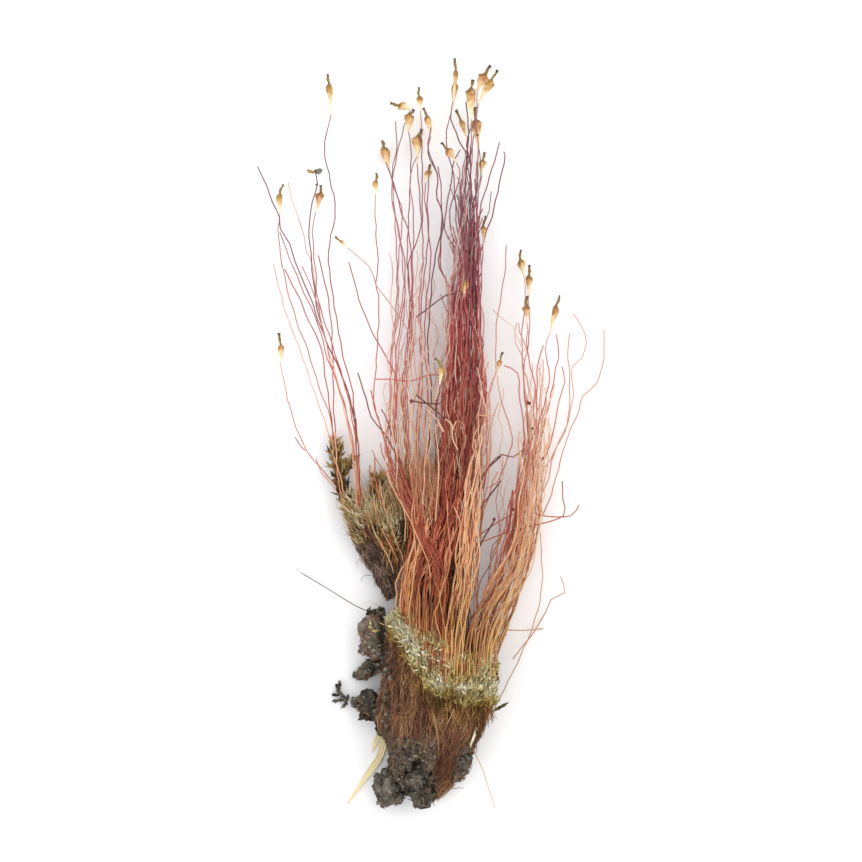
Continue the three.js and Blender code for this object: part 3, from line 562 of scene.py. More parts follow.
def grown_body(name, voxel, relief, grain, seed, trim=None):
    """A copy of a CAD node's body, evened out and roughened along its normals, in mm.

    Trim is a point and a direction: what lies past the point in that direction is cut off.
    """
    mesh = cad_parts[name].data.copy()
    mesh.transform(Matrix.Scale(1 / MM, 4))
    shell = bmesh.new()
    shell.from_mesh(mesh)
    bmesh.ops.remove_doubles(shell, verts=shell.verts, dist=ONE_POINT)
    if trim:
        bmesh.ops.bisect_plane(
            shell, geom=shell.verts[:] + shell.edges[:] + shell.faces[:],
            plane_co=trim[0], plane_no=trim[1], clear_outer=True,
        )
        bmesh.ops.holes_fill(shell, edges=shell.edges)
    shell.to_mesh(mesh)
    shell.free()
    holder = placed("body", mesh)
    evened = holder.modifiers.new("even", "REMESH")
    evened.mode = "VOXEL"
    evened.voxel_size = voxel
    graph = bpy.context.evaluated_depsgraph_get()
    even = bpy.data.meshes.new_from_object(holder.evaluated_get(graph))
    bpy.data.objects.remove(holder)
    bpy.data.meshes.remove(mesh)
    bm = new_body()
    add_mesh(bm, even)
    bmesh.ops.smooth_vert(
        bm, verts=bm.verts, factor=0.5, use_axis_x=True, use_axis_y=True, use_axis_z=True,
    )
    shift = Vector((seed, 2 * seed, 3 * seed))
    bm.normal_update()
    moves = []
    for v in bm.verts:
        rough = noise.fractal((v.co + shift) / grain, 0.9, 2.1, 5)
        moves.append((v, v.co + v.normal * relief * (rough - 0.25)))
    for v, place in moves:
        v.co = place
    return bm


def skin_of(bm):
    """The surface of a body, to comb hairs over and to set crumbs and leaves on."""
    return BVHTree.FromBMesh(bm)


def skin_spots(bm, count, rng, wanted=lambda spot, normal: True):
    """Points spread evenly over a body's surface, with their normals, where they are wanted."""
    faces = [f for f in bm.faces if wanted(f.calc_center_median(), f.normal)]
    areas = [f.calc_area() for f in faces]
    chosen = rng.choices(faces, weights=areas, k=count)
    return [(f.calc_center_median() + random_direction(rng) * 0.05, f.normal.copy()) for f in chosen]


def combed(skin, start, heading, length, step, lift, curl, rng):
    """A hair that follows a surface in a heading, wanders by curl and lifts off towards its end."""
    points = []
    place = start.copy()
    heading = heading.normalized()
    count = max(4, round(length / step))
    for i in range(count + 1):
        found, normal, _, _ = skin.find_nearest(place)
        rise = mix(0.0, lift, (i / count) ** 1.5)
        points.append(found + normal * rise)
        heading = heading + random_direction(rng) * curl
        heading = (heading - normal * heading.dot(normal)).normalized()
        place = points[-1] + heading * step
    return points


def hair_line(points, radius, tone):
    """A strand that tapers to its free end."""
    count = len(points)
    return points, [radius * mix(1.0, 0.45, i / (count - 1)) for i in range(count)], tone


# Half width of a leaf from its root to its point
LEAF_HALF = [[0, 0.16], [0.2, 0.36], [0.5, 0.5], [0.72, 0.34], [0.88, 0.12], [1, 0.02]]


def leaf_template(fold, curl, twist):
    """One leaf, a unit long and wide: folded along its nerve, with a drawn-out point."""
    bm = new_body()
    bmesh.ops.create_grid(bm, x_segments=2, y_segments=2, size=0.5)
    layers = bm.verts.layers.float
    for v in bm.verts:
        side = 2 * v.co.x
        height = v.co.y + 0.5
        v[layers["along"]] = height
        v[layers["across"]] = abs(side)
        half = along(LEAF_HALF, height)
        flat = Vector((side * half, 0, fold * abs(side) * half))
        flat.rotate(Matrix.Rotation(twist * height, 3, "Y"))
        v.co = (flat.x, height, flat.z + curl * height**2)
    bmesh.ops.solidify(bm, geom=bm.faces[:], thickness=0.07)
    bmesh.ops.recalc_face_normals(bm, faces=bm.faces)
    return mesh_of(bm, "leaf")


LEAVES = [
    leaf_template(0.5, 0.35, 0.3), leaf_template(0.9, -0.3, -0.5), leaf_template(0.3, 0.7, 0.8),
    leaf_template(1.1, 0.1, 1.2), leaf_template(0.6, -0.6, 0.4),
]


def twined(route, spread, rough, rng):
    """One thread of a twined stem: the stem's route, set off to a side and a little ragged."""
    aside = random_direction(rng) * spread
    return [p + aside + random_direction(rng) * rough for p in route]


def within(centre, half, off):
    """The spot in a box that lies where off, with parts from -1 to 1, points."""
    return Vector([c + h * o for c, h, o in zip(centre, half, off)])


def set_down(bm, template, root, direction, facing, size, tone):
    """Adds a copy of a template with its foot at root, grown along direction and facing a way."""
    grown = direction.normalized()
    side = grown.cross(facing)
    side = (side if side.length > 1e-3 else grown.orthogonal()).normalized()
    front = side.cross(grown)
    copy = template.copy()
    columns = [side * size[0], grown * size[1], front * size[2], root]
    matrix = Matrix([[c[i] for c in columns] for i in range(3)] + [[0, 0, 0, 1]])
    copy.transform(matrix)
    copy.attributes["tone"].data.foreach_set("value", [tone] * len(copy.vertices))
    add_mesh(bm, copy)


def crumb_template(seed):
    """One crumb of dung or soil, a unit across: an angular, dented grain."""
    bm = new_body()
    bmesh.ops.create_icosphere(bm, subdivisions=1, radius=0.5)
    shift = Vector((seed * 3.1, seed * 1.7, seed))
    for v in bm.verts:
        v.co *= 1 + 0.85 * noise.noise(v.co * 3.2 + shift)
    return mesh_of(bm, "crumb")


CRUMBS = [crumb_template(seed) for seed in range(5)]


def add_crumb(bm, spot, normal, size, rng):
    """Sets one crumb of dung or soil down on a surface."""
    along_skin = normal.cross(random_direction(rng))
    shape = (size, size * rng.uniform(0.7, 1.6), size * rng.uniform(0.4, 0.9))
    tone = clamp(rng.gauss(0.05, 0.24), -0.4, 0.6)
    set_down(bm, rng.choice(CRUMBS), spot, along_skin, normal, shape, tone)


# Setae and capsules

# The sides of the bunches that stand in the main clump, [y, x] from foot to top
SIDES = {
    "inner_left": (
        [[-25, -4.4], [-20, -3.9], [-15, -3.2], [-10, -3.1], [-5, -4.4], [0, -4.9], [5, -4.9],
         [10, -4.4], [15, -4.0], [20, -4.1], [26, -4.6], [31, -4.5], [36, -4.2]],
        [[-25, -1.9], [-20, -1.9], [-15, -1.6], [-10, -0.9], [-5, -0.4], [0, -0.2], [5, -0.1],
         [10, -0.2], [15, -0.1], [20, 0.2], [26, 0.7], [31, 0.6], [36, 0.2]],
    ),
    "centre": (
        [[-25, -2.6], [-20, -3.0], [-15, -1.9], [-10, -0.1], [-5, 0.9], [0, 1.2], [5, 2.1],
         [10, 2.7], [15, 3.1], [20, 3.3], [25, 3.7], [30, 3.8], [34, 3.9], [38, 4.1]],
        [[-25, 3.4], [-20, 4.0], [-15, 4.6], [-10, 4.9], [-5, 5.1], [0, 5.5], [5, 6.2],
         [10, 6.0], [15, 5.7], [20, 5.7], [25, 6.0], [30, 5.7], [34, 5.6], [38, 5.6]],
    ),
    "core": (
        [[-25, -0.8], [-20.5, -0.4], [-16.5, -0.1], [-12.9, 0.1], [-7.2, 0.9], [-1.5, 0.8],
         [4.3, 0.9], [8.9, 1.9], [14.4, 2.3], [22.7, 3.1], [28.3, 3.6], [34, 4.0]],
        [[-25, 2.0], [-20.5, 1.8], [-16.5, 2.0], [-12.9, 2.7], [-7.2, 4.3], [-1.5, 5.2],
         [4.3, 5.8], [8.9, 5.3], [14.4, 5.0], [22.7, 4.7], [28.3, 4.8], [34, 5.2]],
    ),
    "core_right": (
        [[-25, 1.2], [-20.5, 2.4], [-15, 3.0], [-12.9, 3.4], [-7.2, 4.2], [-1.5, 5.0],
         [4.3, 5.4], [12, 5.0], [20, 5.0]],
        [[-25, 4.2], [-20.5, 4.4], [-15, 4.9], [-12.9, 5.1], [-7.2, 5.5], [-1.5, 6.2],
         [4.3, 6.6], [12, 6.3], [20, 6.0]],
    ),
    "centre_loose": (
        [[-25, -0.9], [-20, -1.0], [-15, -0.8], [-10, -0.4], [-5, 0.2], [5, 0.0], [15, 0.4],
         [25, 0.8], [32, 0.6], [36, 0.6]],
        [[-25, 3.0], [-15, 3.4], [-5, 3.0], [5, 2.2], [15, 2.8], [25, 3.4], [32, 3.7], [36, 3.4]],
    ),
    "foot_left": (
        [[-22, -4.8], [-19, -3.9], [-16.4, -3.2], [-14.8, -2.8], [-12.9, -2.2], [-10, -1.7],
         [-6, -1.6], [0, -1.6]],
        [[-22, -1.2], [-19, -0.4], [-16, 0.4], [-13, 1.0], [-10, 1.5], [-6, 1.6], [0, 1.7]],
    ),
    "diagonal": (
        [[-24, -0.6], [-21.3, -0.2], [-19, 0.3], [-16.6, 0.5], [-14.9, 0.4], [-13.8, 0.0],
         [-12.6, -0.6], [-11.7, -1.2], [-10.3, -1.6], [-8.8, -2.1], [-7.2, -2.8], [-4.1, -4.0],
         [-2, -4.8], [0.4, -5.0], [5, -4.9], [15, -3.9], [25, -4.2]],
        [[-24, 0.5], [-21.3, 0.9], [-19, 1.4], [-16.2, 1.6], [-14.8, 1.3], [-13.1, 0.6],
         [-11.6, -0.2], [-10.2, -0.7], [-9.1, -1.1], [-7.2, -1.6], [-4.1, -3.0], [-2, -3.7],
         [0.4, -3.9], [5, -3.6], [15, -2.4], [25, -2.2]],
    ),
    "right": (
        [[-25, 4.5], [-20, 5.4], [-15, 7.3], [-10, 9.0], [-5, 9.8], [0, 10.3], [5, 10.2],
         [10, 10.3], [15, 10.6]],
        [[-25, 7.6], [-20, 9.7], [-15, 11.4], [-10, 12.3], [-5, 12.7], [0, 13.5], [5, 14.2],
         [10, 14.2], [15, 14.4]],
    ),
    "right_loose": (
        [[-25, 4.2], [-20, 4.4], [-10, 5.6], [0, 6.7], [10, 7.2], [20, 8.3]],
        [[-25, 5.6], [-20, 6.2], [-10, 8.8], [0, 9.8], [10, 9.6], [20, 10.0]],
    ),
}


def lane_route(sides, lane, upper):
    """A route that keeps its place across a bunch up to the first of its own upper points."""
    left, right = SIDES[sides]
    top = upper[0][1] - 3
    sway = TURN * lane
    route = [
        (mix(along(left, y), along(right, y), lane) + 0.2 * math.sin(sway + 0.42 * y), y)
        for y, _ in left if y < top
    ]
    return route + upper


# The setae that stand out in each bunch: (layer, lane or None, shade, points, capsule).
# With a lane the points are only the upper ones. A capsule is (shoulder, mouth, swell, rust).
STANDOUTS = {
    "setae_left_low": [
        (0, None, 0.55, [(-11, -5.6), (-12.8, -3.5), (-14.3, -1.6), (-15.5, 1), (-16.5, 4.3),
         (-17.4, 8.6)], ((-17.35, 10.6), (-17.6, 12), 0.7, 0.3)),
        (0, None, 0.5, [(-14.5, -1.6), (-15, -1.1), (-15.7, 0)], None),
        (0, None, 0.75, [(-8.7, -9.6), (-11.4, -5.6), (-12.6, -4.1), (-13.3, -2.4)], None),
    ],
    "setae_left_outer": [
        (0, None, 0.85, [(-11.4, -1), (-12, 1), (-13.4, 5), (-15.2, 10.3), (-16.8, 14.5),
         (-18.2, 20)], None),
        (0, None, 0.6, [(-11, -1.2), (-11.6, 2.2), (-13, 6), (-14.2, 10), (-15.2, 12.5),
         (-16.3, 16), (-17, 19), (-17.6, 23), (-17.45, 25.6)],
         ((-17.5, 28), (-17.2, 29.2), 0.75, 0)),
        (0, None, 0.45, [(-11.2, -1), (-11.6, 3), (-12.2, 7), (-12.7, 10.5), (-13.8, 12.7),
         (-15.2, 16), (-16.9, 19.4)], None),
        (0, None, 0.5, [(-10.9, -1), (-11.2, 3), (-11.3, 8), (-11.5, 13), (-12, 16.7),
         (-13, 21)], None),
    ],
    "setae_left_middle": [
        (1, None, 0.15, [(-7.8, -8.3), (-8.2, -6), (-8.3, -2), (-8.7, 2), (-9.3, 4.2), (-10.2, 7),
         (-11.7, 10.3), (-12.7, 12.6), (-13.5, 15), (-14.4, 17.3), (-15.2, 19), (-16.3, 22.2),
         (-17.3, 24), (-17.5, 25.3), (-18.2, 27), (-19, 29), (-20, 31.2)], None),
        (1, None, 0.3, [(-7.7, -8.4), (-8.4, -4), (-9, 5), (-9.9, 8.3), (-10.6, 12),
         (-11.4, 17), (-11.8, 21.3), (-11, 26), (-11.6, 29.5), (-12.3, 33), (-12, 35),
         (-11.5, 37.2)], ((-11.8, 40.7), (-11.97, 41.8), 0.72, 0.1)),
        (1, None, 0.55, [(-8.2, -6.5), (-8.9, -1), (-10.2, 4.6), (-11.9, 9), (-13, 13),
         (-14.6, 16.6), (-16.2, 20.4), (-17.4, 23.6)], None),
    ],
    "setae_left_upper": [
        (2, None, 0.15, [(-7.9, -8.4), (-8.4, -3), (-8.8, 2), (-10, 6.5), (-12, 11),
         (-13.1, 15), (-13.7, 20), (-14, 24), (-13.8, 26), (-13.1, 29), (-13.3, 30.5)], None),
        (2, None, 0.5, [(-8.1, -8.2), (-8.5, -2), (-9.4, 4), (-11, 9.6), (-12.9, 15.5),
         (-13.2, 18.5), (-13.6, 23.5), (-13.2, 25.9)], ((-12.6, 28), (-12.65, 28.9), 0.85, 0.9)),
        (2, None, 0.95, [(-8.5, -8), (-9.2, -1), (-10.6, 6), (-12.3, 12), (-13.8, 20.5),
         (-14.3, 21.3), (-14.8, 24), (-15.8, 26.7), (-16.4, 29.3)], None),
        (2, None, 0.6, [(-8.4, -8.1), (-8.8, -3), (-9.7, 2.6), (-11.3, 7.8), (-12.4, 12.4),
         (-13.4, 16.4), (-14.8, 19.6)], None),
    ],
    "setae_inner_left_1": [
        (0, 0.04, 0.6, [(-3.3, 25.5), (-4, 28.3), (-4.6, 30), (-4.85, 31)],
         ((-5.45, 33.4), (-5.65, 34.25), 1.15, 0.6)),
        (0, 0.4, 0.5, [(-1.2, 24), (-1.4, 29), (-1.6, 31.6)],
         ((-1.3, 34.6), (-1.05, 35.6), 0.7, 0.5)),
        (0, 0.78, 0.45, [(-0.3, 24), (-0.7, 27.4), (-0.6, 29.4)],
         ((-0.3, 30.8), (-0.1, 31.5), 0.8, 0.2)),
        (0, 0.2, 0.7, [(-3.8, 24), (-4.4, 26.5), (-4.5, 30.5), (-4, 33), (-4.1, 36.5)], None),
    ],
    "setae_inner_left_2": [
        (1, 0, 0.6, [(-4.2, 26), (-4.4, 29.6), (-3.7, 33.5), (-2.8, 36.6), (-2.4, 37.7)],
         ((-3.75, 38.25), (-4.7, 38.45), 1.05, 0.1)),
        (1, 0.36, 0.5, [(-2.6, 24.5), (-2.4, 29), (-2.3, 33.2), (-2.6, 35.2)],
         ((-2.45, 37.1), (-2, 37.75), 1.35, 0.55)),
        (1, 0.72, 0.45, [(-1, 24.5), (-1, 30), (-1.1, 35), (-1.2, 37.6)],
         ((-1.4, 39.2), (-1.45, 40.3), 0.65, 0.2)),
        (1, 1, 0.1, [(1.4, 25.2), (0.7, 27.3), (0.7, 30.3), (-0.4, 32.7), (0, 34.6)],
         ((-0.4, 37), (-0.9, 37.9), 0.8, 0.3)),
        (1, 0.5, 0.55, [(-2, 25), (-2.4, 30), (-1.6, 32.3)],
         ((-1.6, 34.5), (-1.1, 35.35), 0.95, 0.5)),
    ],
    "setae_inner_left_3": [
        (2, None, 0.5, [(-3.9, -25.3), (-3.2, -20), (-2.6, -14), (-2.1, -8.5), (-4.2, -4.5),
         (-5.7, 1), (-6.6, 4), (-6.4, 6.6), (-6.3, 8), (-5.95, 15), (-6.3, 17.7), (-6, 20.3),
         (-6.2, 21.5), (-6.4, 26), (-6.35, 27.9)], ((-6.3, 29.4), (-6.25, 30.3), 0.7, 0.1)),
        (2, 0.45, 0.35, [(-2.4, 22.5), (-3.3, 25.5), (-4.3, 29), (-5.2, 31.6)], None),
        (2, 0.9, 0.3, [(-0.3, 24), (-0.4, 27.5), (-0.2, 30.4)], None),
        (2, 0.15, 0.55, [(-3, 16.5), (-3.1, 20.5), (-3.8, 24), (-4.4, 27)], None),
        (2, None, 0.65, [(-2.9, -23.8), (-1.8, -15), (-2, -8), (-4.1, -1.5), (-4.3, 4),
         (-3.95, 8), (-4.2, 11.5), (-3.6, 13.9), (-3.1, 17.5)], None),
    ],
    "setae_inner_left_4": [
        (3, None, 0.35, [(-3, -25.3), (-2.4, -19), (-1.8, -12.5), (-2.6, -6.5), (-4.1, -1),
         (-4, 3.4), (-4, 6.9), (-6.2, 11), (-7.9, 14.8), (-9.4, 20)], None),
        (3, None, 0.05, [(-3, -23.3), (-2, -16), (-1.3, -10.5), (-2.8, -4.5), (-4, -2),
         (-5, -0.1), (-6.8, 2.3), (-7.7, 5.3), (-8.4, 7.4)], None),
        (3, None, 0.7, [(-2.4, -25.3), (-1.7, -17), (-0.7, -9), (-0.9, 0), (-1.6, 6),
         (-2.2, 11), (-3.8, 14), (-6.2, 17.3), (-7.1, 19.5), (-9.6, 21.7)],
         ((-10.4, 22.4), (-11, 22.9), 0.4, 0)),
        (3, None, 0.1, [(-2.6, -9), (-3.4, -5), (-4, -2), (-4.8, 1.5), (-5.7, 3.2)], None),
        (3, None, 0.3, [(-2.2, -11), (-4.4, -3), (-5.9, 1.6), (-6.9, 5.4)], None),
        (3.2, None, 0.4, [(-6.4, 6.6), (-4.3, 6.6), (-2.2, 6.4), (-0.3, 7.1), (1.6, 7)], None),
        (3.4, None, 0.05, [(-1.7, 13.7), (-0.7, 14.4), (0, 15), (1.7, 16.2), (3, 16.5)], None),
    ],
    "setae_centre_1": [
        (0, 0.1, 0.4, [(1.6, 24), (2.2, 28.6), (2.7, 32), (3.4, 33.2)], None),
        (0, 0.45, 0.55, [(3.4, 24), (3.6, 30), (4.3, 34)], ((3.5, 36.6), (2.9, 37.8), 0.6, 0.4)),
        (0, 0.78, 0.5, [(5.3, 24), (5.4, 27.5), (5.9, 30.2)], ((5.95, 31.9), (6.15, 32.9), 0.75, 0.2)),
        (0, 1, 0.2, [(5.4, 19), (6.1, 22.8), (7, 25.3), (7.9, 29.3), (8.55, 32.4), (8.4, 33)],
         None),
    ],
    "setae_centre_2": [
        (1, 0, 0.45, [(1.2, 19.3), (1.2, 24), (1.2, 28), (0.8, 31.2)], None),
        (1, 0.36, 0.5, [(3, 24), (2.6, 30), (1.7, 34), (2.1, 36.4), (2.45, 38)],
         ((2.75, 40.7), (2.85, 41.5), 0.8, 0.9)),
        (1, 0.68, 0.6, [(4.6, 24.5), (4.6, 30.5), (5, 35.2), (5.5, 38.5)],
         ((7, 41.1), (7.65, 42.3), 0.85, 0)),
        (1, 0.97, 0.3, [(5.4, 22), (5.6, 25.8), (6.2, 28.2), (7.3, 31.7), (7.9, 34)], None),
    ],
    "setae_centre_3": [
        (2, 0.12, 0.4, [(2.2, 24), (2.4, 27), (3.4, 30), (2.9, 31.5)],
         ((1.8, 33), (1.2, 33.8), 0.85, 0.85)),
        (2, 0.45, 0.05, [(3.8, 25), (4.2, 32.8), (4.3, 35.8), (4, 38.5)], None),
        (2, 0.75, 0.55, [(5.2, 25), (5.2, 30), (5.5, 33)], ((5.15, 36.4), (5, 37.9), 1.1, 0.95)),
        (2, 1, 0.5, [(5.9, 20.6), (6, 22.4)], ((6.05, 24.2), (6.2, 25.4), 0.6, 0.5)),
    ],
    "setae_centre_4": [
        (3, 0.02, 0.25, [(1, 19.3), (1.1, 22), (1.4, 25.2), (0.7, 27.3), (0.7, 30.3), (-0.3, 32.7),
         (0, 35.5)], None),
        (3, 0.38, 0.1, [(3.4, 24), (4.1, 31.5), (3.2, 34), (2.3, 36.4), (2.5, 38.5)],
         ((2.85, 42), (2.75, 43.4), 0.6, 0.15)),
        (3, 0.68, 0.5, [(4.6, 24), (4.5, 31), (4.6, 34.6), (4.6, 36.4)],
         ((4.6, 39.9), (4.85, 40.9), 1.15, 0.6)),
        (3, 0.95, 0.6, [(5.2, 25), (5.4, 32), (5.2, 36.5), (5.3, 39.6)],
         ((6.1, 41.4), (6.85, 42.55), 1.4, 1)),
        (3, 0.55, 0.3, [(4, 26), (4.6, 31), (4, 33.4), (4.9, 35.8), (5.3, 34.6)], None),
    ],
    "setae_centre_5": [
        (4, 0.1, 0.3, [(2.4, 15), (3.5, 19), (2.5, 24)], None),
        (4, 0.38, 0.6, [(3.9, 13.2), (3.9, 15.3)], ((3.8, 18), (3.85, 19.3), 0.7, 0.5)),
        (4, 0.62, 0.3, [(4.6, 22), (4.9, 26), (4.2, 30.8)], None),
        (4, 0.9, 0.35, [(5.5, 22), (5.2, 26), (5, 29.5)], None),
        (4.2, None, 0.8, [(-1, -10), (-0.6, -2), (0.4, 4), (1, 6)],
         ((1.2, 8), (0.5, 9), 0.6, 0)),
    ],
    "setae_right_1": [
        (0, 0.98, 0.7, [(14.2, -1.8), (15.7, 1.5), (16, 5.8), (15.8, 9.8), (16, 12)], None),
        (0, 0.62, 0.5, [(12.3, 8), (13, 10.6)], None),
        (0, 0.2, 0.6, [(10.6, 8), (10.5, 12), (10.9, 16), (10.8, 18.4)],
         ((10.35, 20.4), (10.3, 21.6), 0.75, 0)),
        (0, None, 0.8, [(6.9, -32.5), (8, -30), (10, -26), (11.9, -21.5), (12.8, -17),
         (12.6, -11)], None),
        (0, None, 0.75, [(9.5, -12), (13.1, -6), (14.2, -1.8), (15.7, 1.5), (16.4, 5), (16.2, 8),
         (17.5, 9.2), (17.8, 11.8), (16.4, 14.3)], None),
    ],
    "setae_right_2": [
        (1, 0.96, 0.65, [(12.9, -9), (13.8, -6.7), (14.9, -2.7), (15.7, 0), (16.95, 2.9), (17.5, 4.7),
         (19.1, 6.3), (19.85, 9), (19.9, 12.4)], None),
        (1, 0.6, 0.55, [(13.6, 6.5), (13.1, 10.2), (13.75, 12)],
         ((14.4, 15), (14.8, 16.3), 0.8, 0.5)),
        (1, 0.22, 0.55, [(10.6, 7), (11.3, 11.5), (11.2, 16)],
         ((11.3, 18.5), (11.3, 19.8), 0.85, 0.6)),
        (1, None, 0.7, [(9.4, -25.6), (12.3, -22), (12.9, -21), (13.9, -18.7), (15.4, -17.9),
         (14.9, -16)], None),
        (1, None, 0.7, [(8.6, -22.2), (10.8, -22.3), (13, -22.2)], None),
    ],
    "setae_right_3": [
        (2, 0.95, 0.6, [(14.1, 0.7), (14.4, 3), (15.3, 6.3), (15, 8.1)], None),
        (2, 0.5, 0.5, [(11, 10), (11.1, 12), (11, 13.2)],
         ((11, 15), (11, 16.2), 0.85, 0.85)),
        (2, 0.1, 0.5, [(10.2, 4), (9.9, 7.3), (8.3, 8.2)], None),
        (2, 0.8, 0.55, [(13.6, 4), (14.3, 7.8), (14.65, 9.8), (14.35, 11.8)], None),
    ],
    "setae_right_4": [
        (3, None, 0.6, [(5, -25.3), (5.9, -7.8), (7.6, -5.2), (8.9, -2), (9.3, 0), (8.8, 1.8),
         (7.8, 5), (7.6, 7)], ((7.9, 8.8), (8.2, 9.7), 0.5, 0.4)),
        (3, None, 0.65, [(4.8, -25.3), (5.1, -16), (5.9, -9), (6.8, -2), (6.7, 5), (7.4, 7.5),
         (7.4, 11.3), (7.65, 14), (8.4, 18.5), (8.6, 22)], None),
        (3, None, 0.35, [(3.2, -12.8), (9.5, -8.8), (13.5, -9.1), (16, -9), (17, -7.7)], None),
        (3, None, 0.3, [(3.6, -13), (5, -12.3), (8.5, -11), (11.5, -10.2), (15.1, -9),
         (15.1, -7), (15, -5)], None),
        (3.2, None, 0.1, [(6, -6), (6.6, -3.4), (8, -2), (9.3, -2.3), (10.7, -1.3)], None),
    ],
}

# The finer setae between them: (bunch, layers, sides, lanes, how many, where they start, where they
# end, shades, warmths, waves), with a bunch's layers counted from the floor up.
# Shades above a half pale a stalk: partly with age, partly painted light for light glowing through thin
# stalks.
SHEAVES = [
    ("setae_centre", 5, "core", (0, 1), 104, (-26, -7), (4, 36, 24), (0, 0.6), (0, 0.4), 0.12),
    ("setae_centre", 5, "core", (0.1, 1), 30, (-18, -4), (4, 30, 14), (0.85, 1.4), (0.1, 0.7), 0.16),
    ("setae_centre", 5, "core_right", (0, 1), 17, (-26.5, -25), (-6, 18, 6), (0.65, 1.4), (0.4, 1), 0.2),
    ("setae_centre", 5, "centre_loose", (0, 1), 9, (-12, -6), (4, 34, 14), (0.8, 1.4), (0.4, 1), 0.22),
    ("setae_centre", 5, "foot_left", (0, 1), 25, (-22.6, -21.4), (-14.5, -5, -10), (0.25, 0.85),
     (0.2, 1), 0.2),
    ("setae_inner_left", 4, "inner_left", (0, 1), 20, (-16, -9), (-4, 30, 8), (0.85, 1.4), (0.6, 1), 0.2),
    ("setae_right", 4, "right", (0, 0.5), 13, (-26.5, -25), (-8, 14, 4), (0.5, 1.15), (0.1, 0.8), 0.19),
    ("setae_right", 4, "right", (0.4, 1), 19, (-26.5, -25), (-8, 14, 4), (0.85, 1.45), (0.4, 1), 0.19),
    ("setae_right", 4, "right_loose", (0, 1), 5, (-22, -16), (-12, 8, -3), (0.4, 1.1), (0.3, 1), 0.22),
]


def seta_height(layers, x, y):
    """Height of a seta over a spot, from the [y, layer] pairs it follows. It dives under the mat."""
    height = layer_height(along(layers, y), y)
    return mix(min(height, mat_underside(x) - 0.35), height, clamp((y + 21.5) / 3))


def fine_seta(sides, layers, lanes, feet, tips, shades, warmths, waves, rng):
    """A fine seta of a sheaf: keeps near its lane, wanders and kinks a little, and leans off at its tip.

    Near the foot the lower ones are darker, painted shade for lying under the others over the dark
    felt. Towards the tip the core fades on its left and darkens on its right.
    """
    left, right = SIDES[sides]
    lane, drift = rng.uniform(*lanes), rng.gauss(0, 0.25)
    foot, tip = rng.uniform(*feet), rng.triangular(*tips)
    lean = rng.gauss(0, 0.9)
    slow, quick = rng.uniform(0, TURN), rng.uniform(0, TURN)
    pace, ripple = rng.uniform(0.17, 0.32), rng.uniform(0.8, 1.5)
    kinks = [(rng.uniform(foot + 2, tip), rng.gauss(0, 2 * waves)) for _ in range(4)]
    shade, warmth = rng.uniform(*shades), rng.uniform(*warmths)
    # Painted shade: near the foot the lower layers are darker, where they lie under the others over the
    # dark felt; the right bunch is darkened less.
    soiled = shade * mix(0.6 if "right" in sides else 0.15, 0.9, clamp(layers[0][1] / 4) ** 2)
    points, tones = [], []
    count = max(6, round((tip - foot) / 1.1))
    for i in range(count + 1):
        y = mix(foot, tip, i / count)
        free = clamp((y - foot) / 10)
        place = clamp(lane + drift * (i / count - 0.4))
        x = mix(along(left, y), along(right, y), place)
        x += mix(0.6, 1, free) * (0.3 * math.sin(slow + pace * y) + waves * math.sin(quick + ripple * y))
        x += sum(bend * max(0, 1 - abs(y - spot) / 2.2) for spot, bend in kinks)
        x += lean * clamp((y - (tip - 12)) / 12) ** 2
        z = seta_height(layers, x, y) + 0.16 * math.sin(quick + 0.6 * ripple * y)
        points.append(Vector((x, y, z)))
        tone = mix(soiled, shade, clamp((y + 19) / 16)) + 0.12 * clamp((y - 8) / 10)
        if sides == "core":
            tone += mix(0.4, -0.3, place) * clamp((y - 6) / 12)
        tones.append(tone)
    radius = SETA * rng.uniform(0.55, 0.95)
    tones = [tones[0]] + tones + [tones[-1]]
    return ended(points), radius, tones, warmth


# A capsule's radius from the foot of its neck (0) over its shoulder (1) to its mouth (2)
CAPSULE_OUTLINE = [
    [0.0, 0.08], [0.2, 0.13], [0.4, 0.21], [0.6, 0.32], [0.76, 0.42], [0.88, 0.45], [0.96, 0.33],
    [1.05, 0.17], [1.25, 0.13], [1.45, 0.17], [1.65, 0.14], [1.85, 0.14], [1.94, 0.165], [2.0, 0.17],
]


def add_capsule(bm, base, shoulder, mouth, swell, rust, rng):
    """A capsule: a lathe-turned neck and urn, with an open mouth, bent and shrivelled by drying."""
    turned = new_body()
    layers = turned.verts.layers.float
    outline = CAPSULE_OUTLINE + [[1.99, 0.12], [1.8, 0.1], [1.79, 0.0]]
    corners = [turned.verts.new((0, 0, 0))]
    corners += [turned.verts.new((radius, 0, height)) for height, radius in outline]
    edges = [turned.edges.new(pair) for pair in zip(corners, corners[1:])]
    bmesh.ops.spin(
        turned, geom=corners + edges, axis=(0, 0, 1), cent=(0, 0, 0), steps=12, angle=TURN,
        use_merge=True, dvec=(0, 0, 0),
    )
    bmesh.ops.remove_doubles(turned, verts=turned.verts, dist=ONE_POINT)
    ridges, turn = rng.choice((3, 4, 5)), rng.uniform(0, TURN)
    neck, urn = shoulder - base, mouth - shoulder
    for v in turned.verts:
        height = v.co.z
        angle = math.atan2(v.co.y, v.co.x)
        dried = 1.12 + 0.28 * math.sin(ridges * angle + turn + 2 * height) * clamp(1.3 - height)
        dried *= 1 + 0.7 * noise.noise(v.co * 2.6 + base * 3)
        size = (swell if height < 1.05 else mix(swell, 1, 0.6)) * dried
        axis = neck.lerp(urn, clamp((height - 0.75) / 0.5)).normalized()
        side = axis.cross(UP).normalized()
        over = side.cross(axis)
        centre = base + neck * min(height, 1) + urn * max(height - 1, 0)
        centre += side * 0.16 * noise.noise(Vector((height * 1.6, base.x, base.y)))
        v[layers["along"]] = height / 2 if v.co.to_2d().length > 0.13 or height < 1.7 else 1
        v[layers["tone"]] = rust
        v.co = centre + (side * v.co.x + over * v.co.y * 0.85) * size
    bmesh.ops.recalc_face_normals(turned, faces=turned.faces)
    add_mesh(bm, mesh_of(turned, "capsule"))


